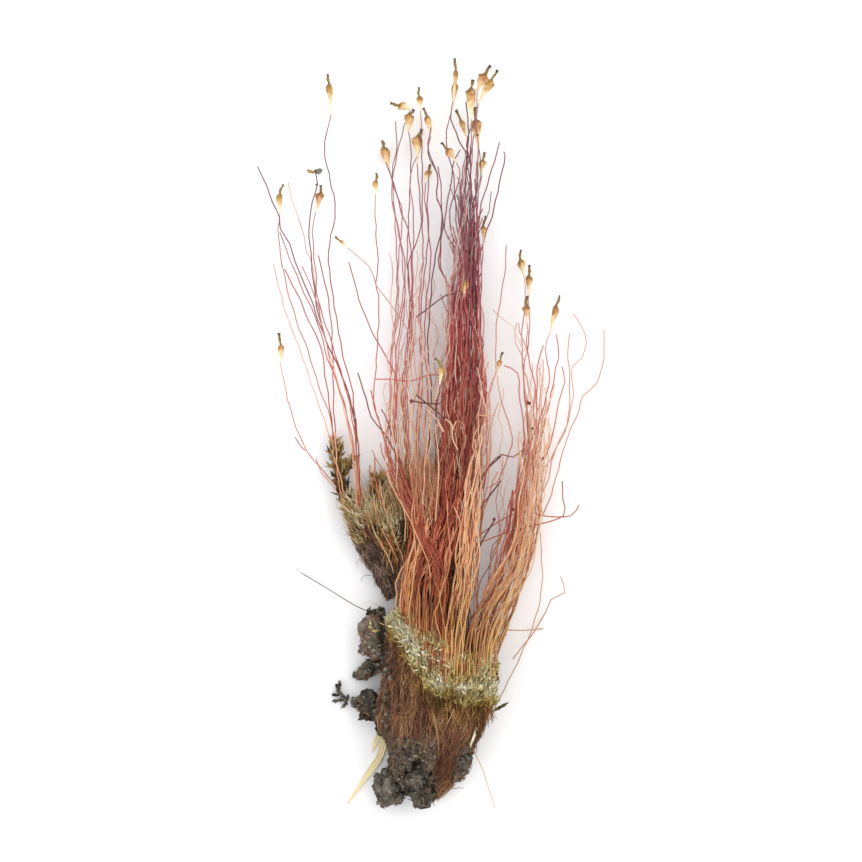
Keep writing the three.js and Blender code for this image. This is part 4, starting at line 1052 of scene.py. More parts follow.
# How warm the standing-out setae of a bunch are
BUNCH_WARMTH = {"left": 0.45, "inner_left": 0.65, "centre": 0.3, "right": 0.5}


def standout_line(bunch, layer, lane, shade, route, capsule, rng):
    """The points, radii, shades and warmth of one seta that stands out. It pales below a capsule."""
    sides = bunch.removeprefix("setae_").rsplit("_", 1)[0]
    flat = route if lane is None else lane_route(sides, lane, route)
    drift = rng.uniform(-0.15, 0.15)
    points = smooth([(x, y, seta_height([[0, layer + drift]], x, y)) for x, y in flat], 1.0)
    kink, turn = rng.uniform(0.5, 0.8), rng.uniform(0, TURN)
    for p in points[2:-2]:
        p.x += 0.06 * math.sin(turn + kink * 3 * p.y)
    points = ended(points)
    count = len(points)
    shades = [shade] * count
    if capsule:
        shades = [mix(shade, 0.97, clamp(1 - (count - 1 - i) / 5)) for i in range(count)]
    radius = SETA * mix(1.0, 0.75, shade)
    warmth = clamp(BUNCH_WARMTH[sides] + rng.gauss(0, 0.2))
    return points, [radius] * count, shades, warmth


def seta_bunch(name, extra):
    """One bunch: its standing-out setae with their capsules, and the finer ones of its layer."""
    rng = random.Random(name)
    stalks, fruits = new_body(), new_body()
    thick = []
    for layer, lane, shade, route, capsule in STANDOUTS[name]:
        line = standout_line(name, layer, lane, shade, route, capsule, rng)
        thick.append(line)
        if capsule:
            shoulder, mouth, swell, rust = capsule
            raised = [Vector((x, y, layer_height(layer, y))) for x, y in (shoulder, mouth)]
            add_capsule(fruits, line[0][-1], *raised, swell, rust, rng)
    add_strands(stalks, thick, 6)
    if extra:
        add_strands(stalks, extra, 4)
    piece(name + "_stalks", stalks, DRIED_SETA, "seta", name)
    piece(name + "_capsules", fruits, CAPSULE, "seta")


finer = {name: [] for name in STANDOUTS}
for prefix, layers, sides, lanes, count, *ranges in SHEAVES:
    sheaf = random.Random(f"{sides}{count}")
    for i in range(count):
        layer = i % layers
        depth = clamp(layer + sheaf.uniform(-0.45, 0.45), -0.3, 4.5)
        finer[f"{prefix}_{layer + 1}"].append(fine_seta(sides, [[0, depth]], lanes, *ranges, sheaf))
for name in STANDOUTS:
    seta_bunch(name, finer[name])


# Setae that cross over the others, topmost: (layers, shade, warmth, points)
OVER_CENTRE = [[-8, 4.6], [0, 4.4]]
TO_INNER_LEFT = [[-10, 4.6], [-2, 2.8]]
CROSSINGS = [
    (TO_INNER_LEFT, 0.85, 0.8, [(-0.7, -20.9), (-0.2, -19), (-0.1, -17.2), (-0.1, -15.8),
     (-0.35, -14.2), (-1.4, -11.7), (-2.5, -9.2), (-3.6, -7.2), (-4.9, -4.4), (-5.3, -1), (-5, 4)]),
    (TO_INNER_LEFT, 0.75, 0.7, [(-1.7, -14.6), (-1.9, -11), (-2.2, -8.6), (-1.6, -5.4), (-1.9, -1)]),
    (OVER_CENTRE, 0.8, 0.8, [(1.4, -22.4), (1.8, -21.3), (2.2, -19), (2.9, -17), (3.05, -15.5),
     (2.8, -14.3), (2.8, -12.9), (3.3, -10.5), (3.3, -9.6), (2.6, -7.9)]),
    (OVER_CENTRE, 0.85, 0.9, [(1.6, -22.5), (1.9, -20.7), (2.6, -18.4), (3.2, -16.6), (3.4, -14.9),
     (3.9, -13.1)]),
    (OVER_CENTRE, 0.65, 0.6, [(0.5, -18.7), (1.2, -17.3), (1.65, -16.2), (2, -15.2), (2.2, -13.7),
     (2.1, -11.9), (1.9, -9.6), (1.9, -7.2)]),
    (OVER_CENTRE, 0.85, 0.8, [(0.5, -9.6), (0.7, -6.8), (0.8, -5.8), (0.85, -3.7), (0.8, -1.7),
     (0.6, 0), (0.5, 1.2), (0.8, 1.5), (1.4, 0.5)]),
    (OVER_CENTRE, 0.95, 0.6, [(-0.6, 3.2), (0.6, 2.1), (1.5, 0.6)]),
    (OVER_CENTRE, 0.95, 0.6, [(1.6, 2.1), (2.4, 1.3), (2.4, 0.4), (2.6, -0.6), (3.1, -1.5)]),
    (OVER_CENTRE, 0.9, 0.6, [(2.9, 1.9), (2.6, 1.2), (2.4, 0.7)]),
    (OVER_CENTRE, 0, 0.2, [(-2.3, 4.1), (-1.6, 4), (-0.2, 3.8), (1, 3.8)]),
    (OVER_CENTRE, 0, 0.2, [(-1.7, 4.8), (-0.2, 3.6), (1.1, 2.5), (1.6, 2)]),
    (OVER_CENTRE, 0.7, 0.9, [(5.3, 2.5), (6.2, 2.45), (7.3, 2.45)]),
    ([[0, 3]], 0, 0.3, [(7.3, -9.4), (6.6, -10.6), (6, -11.6), (5.4, -12.9), (5.1, -13.3),
     (5, -12.6), (5.5, -12.2)]),
    ([[0, 2.6]], 0.05, 0.2, [(8, -2.2), (6.6, -3.5), (5.9, -4.6), (5.2, -6.4)]),
    ([[0, 2.6]], 0.05, 0.2, [(8, -5), (6.8, -6.6), (5.3, -8.6)]),
    ([[0, 3.2]], 0.4, 0, [(4.6, -20.8), (5.4, -19.6), (6.9, -18), (7.7, -16.2), (8.2, -13.8),
     (8.9, -10), (9.3, -6)]),
    ([[0, 3.3]], 0.45, 0.1, [(4.9, -20.8), (5.7, -19.4), (7.1, -17.8), (8, -15.9), (8.6, -13.4),
     (9.6, -9.6), (9.9, -5)]),
    ([[0, 2.2]], 1.25, 0.7, [(7.1, 14.6), (7.65, 14), (8.3, 13.5), (8.9, 13), (9.4, 12.7),
     (9.7, 11.9), (10, 11.2), (10.35, 10.4), (10.8, 9.8)]),
]


def crossing_setae():
    """The red strand bundle that crosses from the core's foot to the inner left, and lone crossings."""
    rng = random.Random("crossing")
    red = [
        fine_seta("diagonal", [[-10, rng.uniform(4.1, 4.7)], [-2, rng.uniform(2.2, 3.2)]], (0, 1),
                  (-24, -15), (-8, 4, -5), (0.4, 0.62), (0.1, 0.55), 0.1, rng)
        for _ in range(22)
    ]
    lone = []
    for layers, shade, warmth, route in CROSSINGS:
        flat = smooth([(x, y, 0) for x, y in route], 0.6)
        points = [Vector((p.x, p.y, seta_height(layers, p.x, p.y) + 0.15)) for p in flat]
        lone.append((ended(points), SETA * mix(1.15, 0.85, shade), shade, warmth))
    bm = new_body()
    add_strands(bm, red, 4)
    add_strands(bm, lone, 6)
    piece("setae_crossing", bm, DRIED_SETA, "seta")


# Shrivelled buds and knots on the setae: (x, y, layer, size)
KNOTS = [
    (11.2, 3.9, 3.2, 0.5), (9.5, -8.3, 3.2, 0.55), (7.2, -9.4, 3, 0.4), (12.8, -2.5, 3, 0.45),
    (-2.2, 4.1, 4.5, 0.45), (-2.45, -6.6, 3.6, 0.6), (11.6, 1, 3.2, 0.3), (-13.3, 30.5, 2, 0.4),
    (-13.1, 29, 2, 0.3), (5.3, 34.6, 3, 0.3),
]
# The crumpled pair of lobes at the upper left: (x, y, heading, size, shade)
LOBES = [
    (-13.9, 30.5, (-1, 0.2, 0), (0.5, 0.8, 0.4), 0.5), (-13.6, 30.4, (-1, 0.4, 0), (0.4, 0.5, 0.3), 0.4),
]
DARK_LOBES = [
    (x, y, (1, 0.3, 0), (0.65, reach, 0.4), 0.3)
    for x, y, reach in ((-13.0, 30.5, 0.75), (-12.75, 30.6, 0.6), (-12.85, 30.35, 0.5))
]


def knots():
    """The knots on the setae, each of a few shrivelled grains, and the crumpled lobes."""
    rng = random.Random(77)
    bm = new_body()
    for x, y, layer, size in KNOTS:
        for _ in range(5):
            off = random_direction(rng) * size * 0.3
            spot = Vector((x, y, layer_height(layer, y))) + off
            shape = (size * 0.6, size * rng.uniform(0.7, 1.1), size * 0.6)
            set_down(bm, rng.choice(CRUMBS), spot, random_direction(rng), UP, shape, 0.12)
    piece("knots_on_setae", bm, DRIED_SETA, "seta")
    for name, material, lobes in (
        ("crumpled_lobe", OLIVE_LEAF, LOBES), ("crumpled_lobe_dark", DUNG, DARK_LOBES),
    ):
        bm = new_body()
        for x, y, heading, size, tone in lobes:
            spot = Vector((x, y, layer_height(2, y) + 0.1))
            set_down(bm, rng.choice(CRUMBS), spot, Vector(heading), UP, size, tone)
        piece(name, bm, material, "leaf")


crossing_setae()
knots()


# The leaf mat and the setae that rise out of it

# The band of leaves over the front of the felt: [place along, x, y, half width]
MAT_BAND = [[0, -4.3, -20.8, 0.9], [0.22, -2.2, -23.0, 1.8], [0.45, 0.3, -26.2, 2.8],
            [0.72, 3.6, -27.9, 2.8], [1, 7.2, -28.2, 2.3]]
# Where the palest leaves stand across it, and how wide their strip is: [place along, value]
MAT_PALE = [[0, -0.1], [0.2, -0.3], [0.35, 0.0], [0.45, -0.4], [0.6, -0.45], [0.72, -0.3], [1, -0.1]]
MAT_PALE_HALF = [[0, 0.7], [0.2, 0.6], [0.35, 0.35], [0.5, 0.45], [0.7, 0.22], [1, 0.3]]


def mat_point(t, across, height):
    """A spot in the mat: t along its band, across it from -1 to 1, and height in mat thicknesses."""
    x, y, half = (along([[row[0], row[i]] for row in MAT_BAND], t) for i in (1, 2, 3))
    tilt = mix(0.75, 0, min(1, t / 0.6))
    x += across * half * math.sin(tilt)
    y += across * half * math.cos(tilt)
    return Vector((x, y, mat_underside(x) + height * MAT_THICKNESS))


def mat_core():
    """The dark packed floor that the leaves of the mat stand in."""
    bm = new_body()
    bmesh.ops.create_grid(bm, x_segments=60, y_segments=16, size=0.5)
    layers = bm.verts.layers.float
    for v in bm.verts:
        spot = mat_point(v.co.x + 0.5, v.co.y * 1.9, 0.9)
        v.co = spot + UP * 0.35 * noise.fractal(spot / 0.9, 0.9, 2.1, 4)
        v[layers["tone"]] = 0.3 + 0.5 * noise.noise(spot / 0.9)
        v[layers["along"]] = 0.6
    bmesh.ops.recalc_face_normals(bm, faces=bm.faces)
    bmesh.ops.solidify(bm, geom=bm.faces[:], thickness=0.5)
    return bm


def leaf_mat():
    """The cream to olive leaves of the mat, in tufts, palest and raised along the strip of MAT_PALE."""
    rng = random.Random(41)
    bm = mat_core()
    for _ in range(MAT_LEAVES):
        t, across = rng.random(), rng.uniform(-1.05, 1.1)
        pale = clamp(1 - abs(across - along(MAT_PALE, t)) / along(MAT_PALE_HALF, t))
        root = mat_point(t, across, 0.8)
        tuft = noise.noise_vector(root / 0.8)
        root.z += rng.uniform(0.0, 0.6) + 0.3 * pale * rng.random() + 0.6 * noise.noise(root / 1.1)
        heading = mix(-0.35, 0.35, t) + 1.2 * tuft.x + rng.gauss(0, 0.34)
        direction = Vector((heading, 1.0 + tuft.y + rng.gauss(0, 0.42), rng.uniform(0.0, 0.6)))
        length, width = rng.uniform(0.5, 1.3), rng.uniform(0.07, 0.135)
        tone = 0.5 + 0.4 * pale + 0.2 * clamp(1 - t / 0.35) + 0.45 * noise.noise(root / 1.4)
        lower = clamp((-0.6 - across) / 0.4)
        tone = clamp(tone + rng.gauss(0, 0.16) - 0.3 * lower)
        facing = UP + random_direction(rng) * 0.5
        set_down(bm, rng.choice(LEAVES), root, direction, facing, (width, length, 0.7), tone)
    piece("leaf_mat_leaves", bm, MAT_LEAF, "leaf", "leaf_mat")


def green_leaf_tip():
    """The green leaf that hangs off the right end of the mat: a few leaves over one another."""
    bm = new_body()
    for x, y, reach, tone in ((6.9, -31.6, 2.1, 0.3), (6.7, -30.9, 1.5, 0.6), (6.9, -30.2, 1.2, 0.8),
                              (7.6, -31.2, 1.6, 0.0)):
        root = Vector((x, y, 3.6))
        set_down(bm, LEAVES[0], root, Vector((1.3, 0.75, -0.1)), UP, (0.42, reach, 0.5), tone)
    piece("green_leaf_tip", bm, GREEN_LEAF, "leaf")


def mat_fringe():
    """Olive-brown hairs that hang from the lower edge of the mat over the felt."""
    rng = random.Random(43)
    felt = bmesh.new()
    felt.from_mesh(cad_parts["rhizoid_felt"].data)
    bmesh.ops.scale(felt, vec=[1 / MM] * 3, verts=felt.verts)
    skin = skin_of(felt)
    felt.free()
    lines = []
    for _ in range(MAT_FRINGE_HAIRS):
        t = rng.random()
        across = rng.uniform(-1.25, -0.35) if t > 0.3 else rng.uniform(-1.3, 0.4)
        place = mat_point(t, across, 1.0) + random_direction(rng) * 0.3
        heading = Vector((rng.gauss(0.0, 0.35), -1, rng.gauss(0, 0.2)))
        length = rng.uniform(0.8, 2.8)
        points = [place]
        for _ in range(5):
            heading = heading.normalized() + random_direction(rng) * 0.25
            place = place + heading.normalized() * length / 5
            found, normal, _, _ = skin.find_nearest(place)
            place = place.lerp(found + normal * 0.5, 0.35)
            points.append(place)
        tone = clamp(rng.gauss(0.28, 0.17) + 0.25 * (across + 0.8))
        lines.append(hair_line(points, RHIZOID * rng.uniform(0.8, 1.4), tone))
    strand_piece("mat_fringe", lines, 3, OLIVE_HAIR, "felt")


# How low across the mat the topmost setae may rise: [place along, place across]
LOWEST_RISE = [[0.05, 0.4], [0.2, -0.2], [0.45, -0.8], [0.7, -0.65], [0.85, 0.1]]
# The bunch that such a seta joins: (least x where it rises, bunch, its left side and width there, tip)
JOINED = [
    (3.6, "right", 3.6, 4.0, (-16, 6, -6)), (1.6, "core_right", 1.6, 2.0, (-16, 4, -9)),
    (-0.4, "core", -1.0, 3.2, (-15, 2, -10)), (-9, "foot_left", -4.6, 4.4, (-15, -6, -10)),
]
# The (shade, warmth) pairs that it may have there
JOINED_SHADES = {
    "foot_left": [(0.38, 0.2), (0.45, 0.5), (0.6, 0.8), (0.75, 1.0), (1.05, 1.0)],
    "core": [(0.2, 0.2), (0.32, 0.3), (0.4, 0.5), (0.5, 0.7), (0.75, 1.0)],
    "core_right": [(0.4, 0.5), (0.55, 0.7), (0.75, 0.8), (0.95, 0.8), (1.2, 0.9)],
    "right": [(0.4, 0.1), (0.5, 0.2), (0.6, 0.4), (0.8, 0.6), (1.0, 0.9)],
}


def seta_over_mat(rng):
    """One of the topmost setae: it rises out of the mat, then bends down into its lane of a bunch."""
    t = rng.uniform(0.02, 1.0)
    lowest = along(LOWEST_RISE, t)
    root = mat_point(t, rng.triangular(lowest, 1.0, mix(lowest, 1.0, 0.3)), 1.9)
    sides, left_x, width, tips = next(row for least_x, *row in JOINED if root.x > least_x)
    lane = clamp((root.x - left_x) / width + rng.gauss(0, 0.12))
    tip = rng.triangular(*tips)
    slow, quick = rng.uniform(0, TURN), rng.uniform(0, TURN)
    ripple = rng.uniform(0.7, 1.3)
    kinks = [(rng.uniform(root.y + 1.5, tip), rng.gauss(0, 0.34)) for _ in range(4)]
    left, right = SIDES[sides]
    points = []
    count = round((tip - root.y) / 1.25)
    for i in range(count + 1):
        y = mix(root.y, tip, i / count)
        risen = clamp((y - root.y) / 13)
        settled = risen * risen * (3 - 2 * risen)
        x = mix(root.x, mix(along(left, y), along(right, y), lane), settled)
        x += settled * 0.45 * math.sin(slow + 0.3 * y) + 0.14 * risen * math.sin(quick + ripple * y)
        x += sum(bend * max(0, 1 - abs(y - spot) / 2) for spot, bend in kinks)
        over = root.z + 0.45 * math.sin(math.pi * min(1, risen * 1.5))
        z = mix(over, layer_height(4.2, y) + 0.2, clamp((y - root.y - 2) / 9))
        points.append(Vector((x, y, z)))
    shades = JOINED_SHADES[sides]
    if sides == "right":
        shades = shades[:4] if lane < 0.5 else shades[1:]
    shade, warmth = rng.choice(shades)
    shade += rng.gauss(0.15 if sides == "right" else 0, 0.06)
    return ended(points), SETA * rng.uniform(0.65, 1.05), shade, warmth


def setae_over_mat():
    """The topmost setae, which come up through the leaves and bend down onto the bunches."""
    rng = random.Random(17)
    lines = [seta_over_mat(rng) for _ in range(SETAE_OVER_MAT)]
    strand_piece("setae_over_mat", lines, 4, DRIED_SETA, "seta")


# Where the pressed leaves lie, before the felt's front
UNDER_Y = -24.8


def leaves_under():
    """Leaves and their stems pressed flat under the foot of the setae."""
    rng = random.Random(23)
    bm = new_body()
    stems = []
    for _ in range(PRESSED_STEMS):
        start = Vector((rng.uniform(-4.0, 6.6), UNDER_Y + rng.uniform(-0.3, 0.4), rng.uniform(0.15, 0.5)))
        end = start + Vector((rng.uniform(1.2, 3.4), rng.uniform(-0.2, 0.3), 0))
        bend = start.lerp(end, 0.5) + Vector((0, rng.uniform(-0.2, 0.2), 0))
        stems.append((smooth([start, bend, end], 0.6), rng.uniform(0.06, 0.13), 0.1))
    add_strands(bm, stems, 4)
    for _ in range(PRESSED_LEAVES):
        root = Vector((rng.uniform(-4.0, 7.2), UNDER_Y + rng.uniform(-0.3, 0.5), rng.uniform(0.1, 0.5)))
        direction = Vector((rng.gauss(0, 0.6), 1, rng.uniform(-0.05, 0.05)))
        size = (rng.uniform(0.35, 0.6), rng.uniform(1.4, 3.4), 0.3)
        set_down(bm, rng.choice(LEAVES[:2]), root, direction, UP, size, rng.uniform(0.1, 0.8))
    piece("pressed_leaves", bm, OLIVE_LEAF, "leaf", "leaves_under")


# Where the small leaves of the side clump grow: along its ridge and down its left margin, all
# pointing away from its foot
SIDE_RIDGE = [(-8.2, -9.0, 3.3), (-6.6, -10.0, 3.5), (-5.2, -10.8, 3.5), (-4.2, -11.4, 3.4)]
SIDE_MARGIN = [(-9.6, -8.0, 2.2), (-9.0, -9.6, 2.5), (-8.4, -11.0, 2.6), (-7.9, -12.2, 2.5)]
SIDE_FOOT = Vector((-4.6, -15.4, 2.2))
SIDE_CROWN = 3.9
SHOOT_STEM = [(-10.4, -5.6, 1.8), (-9.4, -7.5, 2.5), (-8.4, -8.9, 3.2), (-7.4, -10.6, 3.9),
              (-6.6, -12.4, 3.9)]


def side_ceiling(y, fall):
    """How high the side clump's leaves and fuzz may start: lower towards its tips."""
    return SIDE_CROWN - fall * clamp(y + 11, 0, 5)


def side_leaves():
    """Small olive leaves on twined stems, which stand along the felt of the side clump."""
    rng = random.Random(31)
    ridge, margin = smooth(SIDE_RIDGE, 0.2), smooth(SIDE_MARGIN, 0.2)
    bm = new_body()
    add_strands(bm, [(twined(ridge, 0.25, 0.08, rng), 0.13, 0.06) for _ in range(TWINED_THREADS)], 4)
    for _ in range(SIDE_LEAVES):
        outer = rng.random() < 0.4
        root = rng.choice(margin if outer else ridge) + random_direction(rng) * (0.35 if outer else 0.8)
        outward = (root - SIDE_FOOT).normalized()
        root += outward * (0 if outer else rng.uniform(-0.8, 2.2))
        root.z = min(root.z, side_ceiling(root.y, 0.25))
        direction = outward + random_direction(rng) * 0.45 + UP * rng.uniform(0, 0.3)
        size = (rng.uniform(0.09, 0.18), rng.uniform(0.6, 1.7), 0.6)
        tone = 1.0 + 0.8 * noise.noise(root) + rng.gauss(0, 0.2)
        set_down(bm, rng.choice(LEAVES), root, direction, UP, size, clamp(tone))
    piece("side_clump_leaves", bm, OLIVE_LEAF, "leaf", "side_leaves")
    side_fuzz(ridge, margin, rng)
    stem = smooth(SHOOT_STEM, 0.5)
    strand_piece("shoot_stem", [
        hair_line(twined(stem, 0.22, 0.06, rng), 0.075, clamp(rng.gauss(0.12, 0.1)))
        for _ in range(TWINED_THREADS)
    ], 4, RHIZOID_HAIR, "felt")


def side_fuzz(ridge, margin, rng):
    """Olive fuzz between the side clump's leaves, darker towards its foot."""
    fuzz = []
    for _ in range(SIDE_FUZZ):
        outer = rng.random() < 0.2
        root = rng.choice(margin if outer else ridge) + random_direction(rng) * (0.4 if outer else 0.9)
        heading = (root - SIDE_FOOT).normalized() + random_direction(rng) * 0.35
        root += heading * (0 if outer else rng.uniform(-2.2, 2.0))
        root.z = min(root.z, side_ceiling(root.y, 0.3))
        points = [root]
        for _ in range(6):
            heading = heading.normalized() + random_direction(rng) * 0.35
            points.append(points[-1] + heading.normalized() * rng.uniform(0.2, 0.4))
        low = clamp((-9.6 - root.y) / 2)
        tone = clamp(0.84 - 0.5 * low + 0.8 * noise.noise(root / 1.1) + rng.gauss(0, 0.2))
        fuzz.append(hair_line(points, RHIZOID * rng.uniform(0.6, 1.2), tone))
    strand_piece("side_fuzz", fuzz, 3, OLIVE_HAIR, "felt")


# The turn from one leaf of a shoot to the next
SPIRAL = 2.4


def leafy_shoot(name, replaced, route, thick, leaves, reach, seed):
    """A leafy shoot: a dark stem of wiry hairs, with its leaves set round it in a spiral."""
    rng = random.Random(seed)
    stem = smooth(route, 0.25)
    bm = new_body()
    wiry = []
    for i in range(20):
        angle = i * SPIRAL
        off = Vector((math.cos(angle), 0, math.sin(angle))) * thick * rng.uniform(0.2, 0.95)
        wiry.append(([p + off + random_direction(rng) * 0.09 for p in stem], 0.14, 0.04))
    add_strands(bm, wiry, 4)
    for i in range(leaves):
        t = rng.random() ** 0.8
        root = stem[round(t * (len(stem) - 1))]
        angle = i * SPIRAL
        outward = Vector((math.cos(angle), 0, 0.75 * math.sin(angle)))
        direction = Vector((0, 1, 0)) + outward * rng.uniform(0.1, 1.1) + random_direction(rng) * 0.45
        root = root + outward * thick * rng.uniform(0.3, 0.8)
        size = (rng.uniform(0.1, 0.24), reach * rng.uniform(0.35, 1.0), 0.6)
        tone = clamp(mix(-0.15, 0.5, t) + rng.gauss(0, 0.22))
        set_down(bm, rng.choice(LEAVES), root, direction, outward, size, tone)
    piece(name, bm, OLIVE_LEAF, "leaf", *replaced)


leaf_mat()
green_leaf_tip()
mat_fringe()
setae_over_mat()
leaves_under()
side_leaves()
leafy_shoot("narrow_shoot", ["shoot_narrow"], [
    (-9.9, -8.0, 1.5), (-10.5, -4.6, 1.8), (-11.1, -0.6, 1.8),
], 0.42, 210, 1.5, 5)
leafy_shoot("shoot_branch", [], [
    (-9.9, -4.4, 1.9), (-9.4, -3.2, 2.0), (-9.0, -2.4, 2.0),
], 0.15, 40, 0.9, 6)
leafy_shoot("tufted_shoot", ["shoot_tuft"], [
    (-6.0, -8.6, 1.5), (-6.1, -6.4, 1.5), (-6.0, -4.6, 1.4),
], 0.6, 260, 1.3, 9)


# Felt, dung and straw


def felted(name, node_name, mass, relief, trim, soil, seed):
    """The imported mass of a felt, and a copy of it to comb the hairs over."""
    bm = grown_body(node_name, 0.25, relief, 0.8, seed, trim)
    tone = bm.verts.layers.float["tone"]
    for v in bm.verts:
        v[tone] = soil(v.co)
        v.co += v.normal * 0.25 * v[tone] * noise.noise(v.co / 0.7)
    spots = bm.copy()
    piece(name, bm, mass, "felt", node_name)
    return skin_of(spots), spots


def main_soil(spot):
    """How much dung is worked into the main felt at a spot: its left margin and most of its foot."""
    edge = 0.9 * noise.noise(spot / 1.1)
    margin = 0.55 * clamp((-3.4 + edge - spot.x) / 1.3) * clamp((-20.0 - spot.y) / 1.5)
    foot = clamp((-33.6 + edge - spot.y) / 1.5) * clamp((0.9 + edge - spot.x) / 0.8)
    right = clamp((-34.4 + edge - spot.y) / 1.2) * clamp((spot.x - 2.2 + edge) / 0.8)
    return 0.85 * max(margin, foot, right)


def dung_covered(spot, normal):
    """Whether crumbs of dung are set on the main felt at a spot: where it is soiled, but for its back."""
    return normal.z > -0.4 and main_soil(spot) > 0.45


def side_soil(spot):
    """How much dust sticks to the side felt at a spot: grey patches all over."""
    return clamp(0.25 + 1.4 * noise.noise(spot / 1.3))


# Where the main felt's lower right corner is cut off: a spot, and the way out of the felt there
FELT_TRIM = (Vector((5.15, -35.5, 3)), Vector((3.5, -1.2, 0)))
# The strip of pale leaf that sticks to the felt: (x, y, shade)
PALE_FLAKE = [(4.95, -32.9, 0.9), (4.8, -33.4, 0.8), (4.7, -33.9, 0.95), (4.55, -34.4, 0.6)]
# The long stray rhizoid at the lower right, and the short ones: ((x, y) of the root, length)
LONG_STRAY = [(3, -33.2, 7.4), (4.6, -35.4, 5.4), (5.9, -38.2, 2.6), (6.8, -41, 0.9), (7.5, -43.3, 0.4)]
SHORT_STRAYS = [((0.2, -41.2), 1.6), ((2.2, -40.2), 1.9), ((3.1, -39.3), 1.7), ((4.2, -36.4), 1.2),
                ((-3.4, -41.4), 0.9)]


def felt_hairs(skin, body, rng):
    """Tufts of hairs combed down the main felt, clear of the dung, and long ones from under the mat."""
    lines = []
    for start, _ in skin_spots(body, MAIN_FELT_HAIRS, rng, lambda _, n: n.z > -0.6):
        dirty = main_soil(start)
        if rng.random() < dirty * 0.95:
            continue
        tuft = noise.noise_vector(start / 1.6)
        heading = Vector((0.06 * (start.x - 1) + 0.7 * tuft.x + rng.gauss(0, 0.2), -1, 0.5 * tuft.z))
        length = rng.uniform(1.4, 4.5)
        points = combed(skin, start, heading, length, 0.55, rng.uniform(0.05, 0.5), 0.18, rng)
        if rng.random() < 0.85:
            points = [p for p in points if main_soil(p) < 0.5]
        if len(points) < 3:
            continue
        tone = 0.5 + 0.45 * noise.noise(start / 1.9) + rng.gauss(0, 0.13) - 0.2 * dirty
        lines.append(hair_line(points, RHIZOID * rng.uniform(0.5, 1.1), clamp(tone)))
    for _ in range(LONG_FELT_HAIRS):
        start = mat_point(rng.uniform(0, 0.95), rng.uniform(-1.1, -0.5), 0.3)
        start += random_direction(rng) * 0.3
        aim = rng.gauss(1.2, 1.0)
        heading = Vector(((aim - start.x) / (start.y + 43), -1, 0))
        points = combed(skin, start, heading, rng.uniform(3, 11), 0.7, rng.uniform(0.1, 0.4), 0.1, rng)
        tone = clamp(rng.gauss(0.6, 0.2))
        lines.append(hair_line(points, RHIZOID * rng.uniform(0.7, 1.25), tone))
    strand_piece("rhizoid_hairs", lines, 3, RHIZOID_HAIR, "felt")


def main_felt():
    """The main clump's felt: its packed mass, its hairs, the dung and the flake on it, and its strays."""
    rng = random.Random(7)
    skin, body = felted("rhizoid_felt_mass", "rhizoid_felt", FELT_MASS, 0.4, FELT_TRIM, main_soil, 1)
    felt_hairs(skin, body, rng)
    bm = new_body()
    for spot, normal in skin_spots(body, MAIN_FELT_CRUMBS, rng, dung_covered):
        add_crumb(bm, spot, normal, rng.triangular(0.08, 0.6, 0.14), rng)
    piece("soil_on_felt", bm, DUNG, "dung")
    body.free()
    bm = new_body()
    for x, y, tone in PALE_FLAKE:
        spot, normal, _, _ = skin.ray_cast(Vector((x, y, 20)), -UP)
        root, direction = spot + normal * 0.3, Vector((-0.25, -1, -0.3))
        set_down(bm, LEAVES[0], root, direction, normal, (0.26, 1.0, 0.6), tone)
    piece("pale_flake", bm, MAT_LEAF, "leaf")
    loose = [hair_line(smooth(LONG_STRAY, 0.7), 0.07, 0.85)]
    for root, length in SHORT_STRAYS:
        points = [Vector((*root, 1.4))]
        turn = rng.uniform(-0.5, 0.5)
        for _ in range(9):
            turn += rng.gauss(0.12, 0.25)
            step = Vector((math.sin(turn), -math.cos(turn), -0.35)) * length / 9
            points.append(points[-1] + step)
        loose.append(hair_line(points, 0.06, 0.5))
    strand_piece("loose_rhizoids", loose, 6, RHIZOID_HAIR, "felt")


def side_felt():
    """The side clump's felt: its dusty packed mass and the short dark hairs on it."""
    rng = random.Random(8)
    skin, body = felted("side_felt_mass", "side_felt", SIDE_FELT_MASS, 0.5, None, side_soil, 4)
    lines = []
    for start, _ in skin_spots(body, SIDE_FELT_HAIRS, rng, lambda _, n: n.z > -0.6):
        heading = Vector((0.45 + rng.gauss(0, 0.35), -1, rng.gauss(0, 0.3)))
        length, lift = rng.uniform(0.9, 2.6), rng.uniform(0.05, 0.45)
        points = combed(skin, start, heading, length, 0.4, lift, 0.22, rng)
        tone = clamp(0.3 + 0.8 * noise.noise(start / 1.1) + rng.gauss(0, 0.18))
        lines.append(hair_line(points, RHIZOID * rng.uniform(0.7, 1.4), tone))
    body.free()
    strand_piece("side_rhizoid_hairs", lines, 3, DARK_HAIR, "felt")


def lump(name, relief, swell, crumbs, hairs, trim, shade, seed):
    """A lump of dung: a pitted, unevenly swollen body with crumbs stuck on. Gives the hairs over it."""
    rng = random.Random(seed)
    bm = grown_body(name, 0.12, relief, 0.5, seed, trim)
    for v in bm.verts:
        v.co += v.normal * swell * noise.noise(v.co / 1.5 + Vector((seed, 0, 0)))
    skin = skin_of(bm)
    lines = []
    for start, _ in skin_spots(bm, hairs, rng, lambda _, n: n.z > 0):
        heading = Vector((rng.gauss(0.2, 0.5), -1, rng.gauss(0, 0.3)))
        length, lift = rng.uniform(0.8, 2.4), rng.uniform(0.1, 0.35)
        points = combed(skin, start, heading, length, 0.35, lift, 0.3, rng)
        lines.append(hair_line(points, RHIZOID * rng.uniform(0.6, 1.2), clamp(rng.gauss(0.5, 0.2))))
    for spot, normal in skin_spots(bm, crumbs, rng):
        add_crumb(bm, spot, normal, rng.triangular(0.08, 0.5, 0.1), rng)
    tone = bm.verts.layers.float["tone"]
    for v in bm.verts:
        v[tone] += shade
    piece(name + "_rough", bm, DUNG, "dung", name)
    return lines


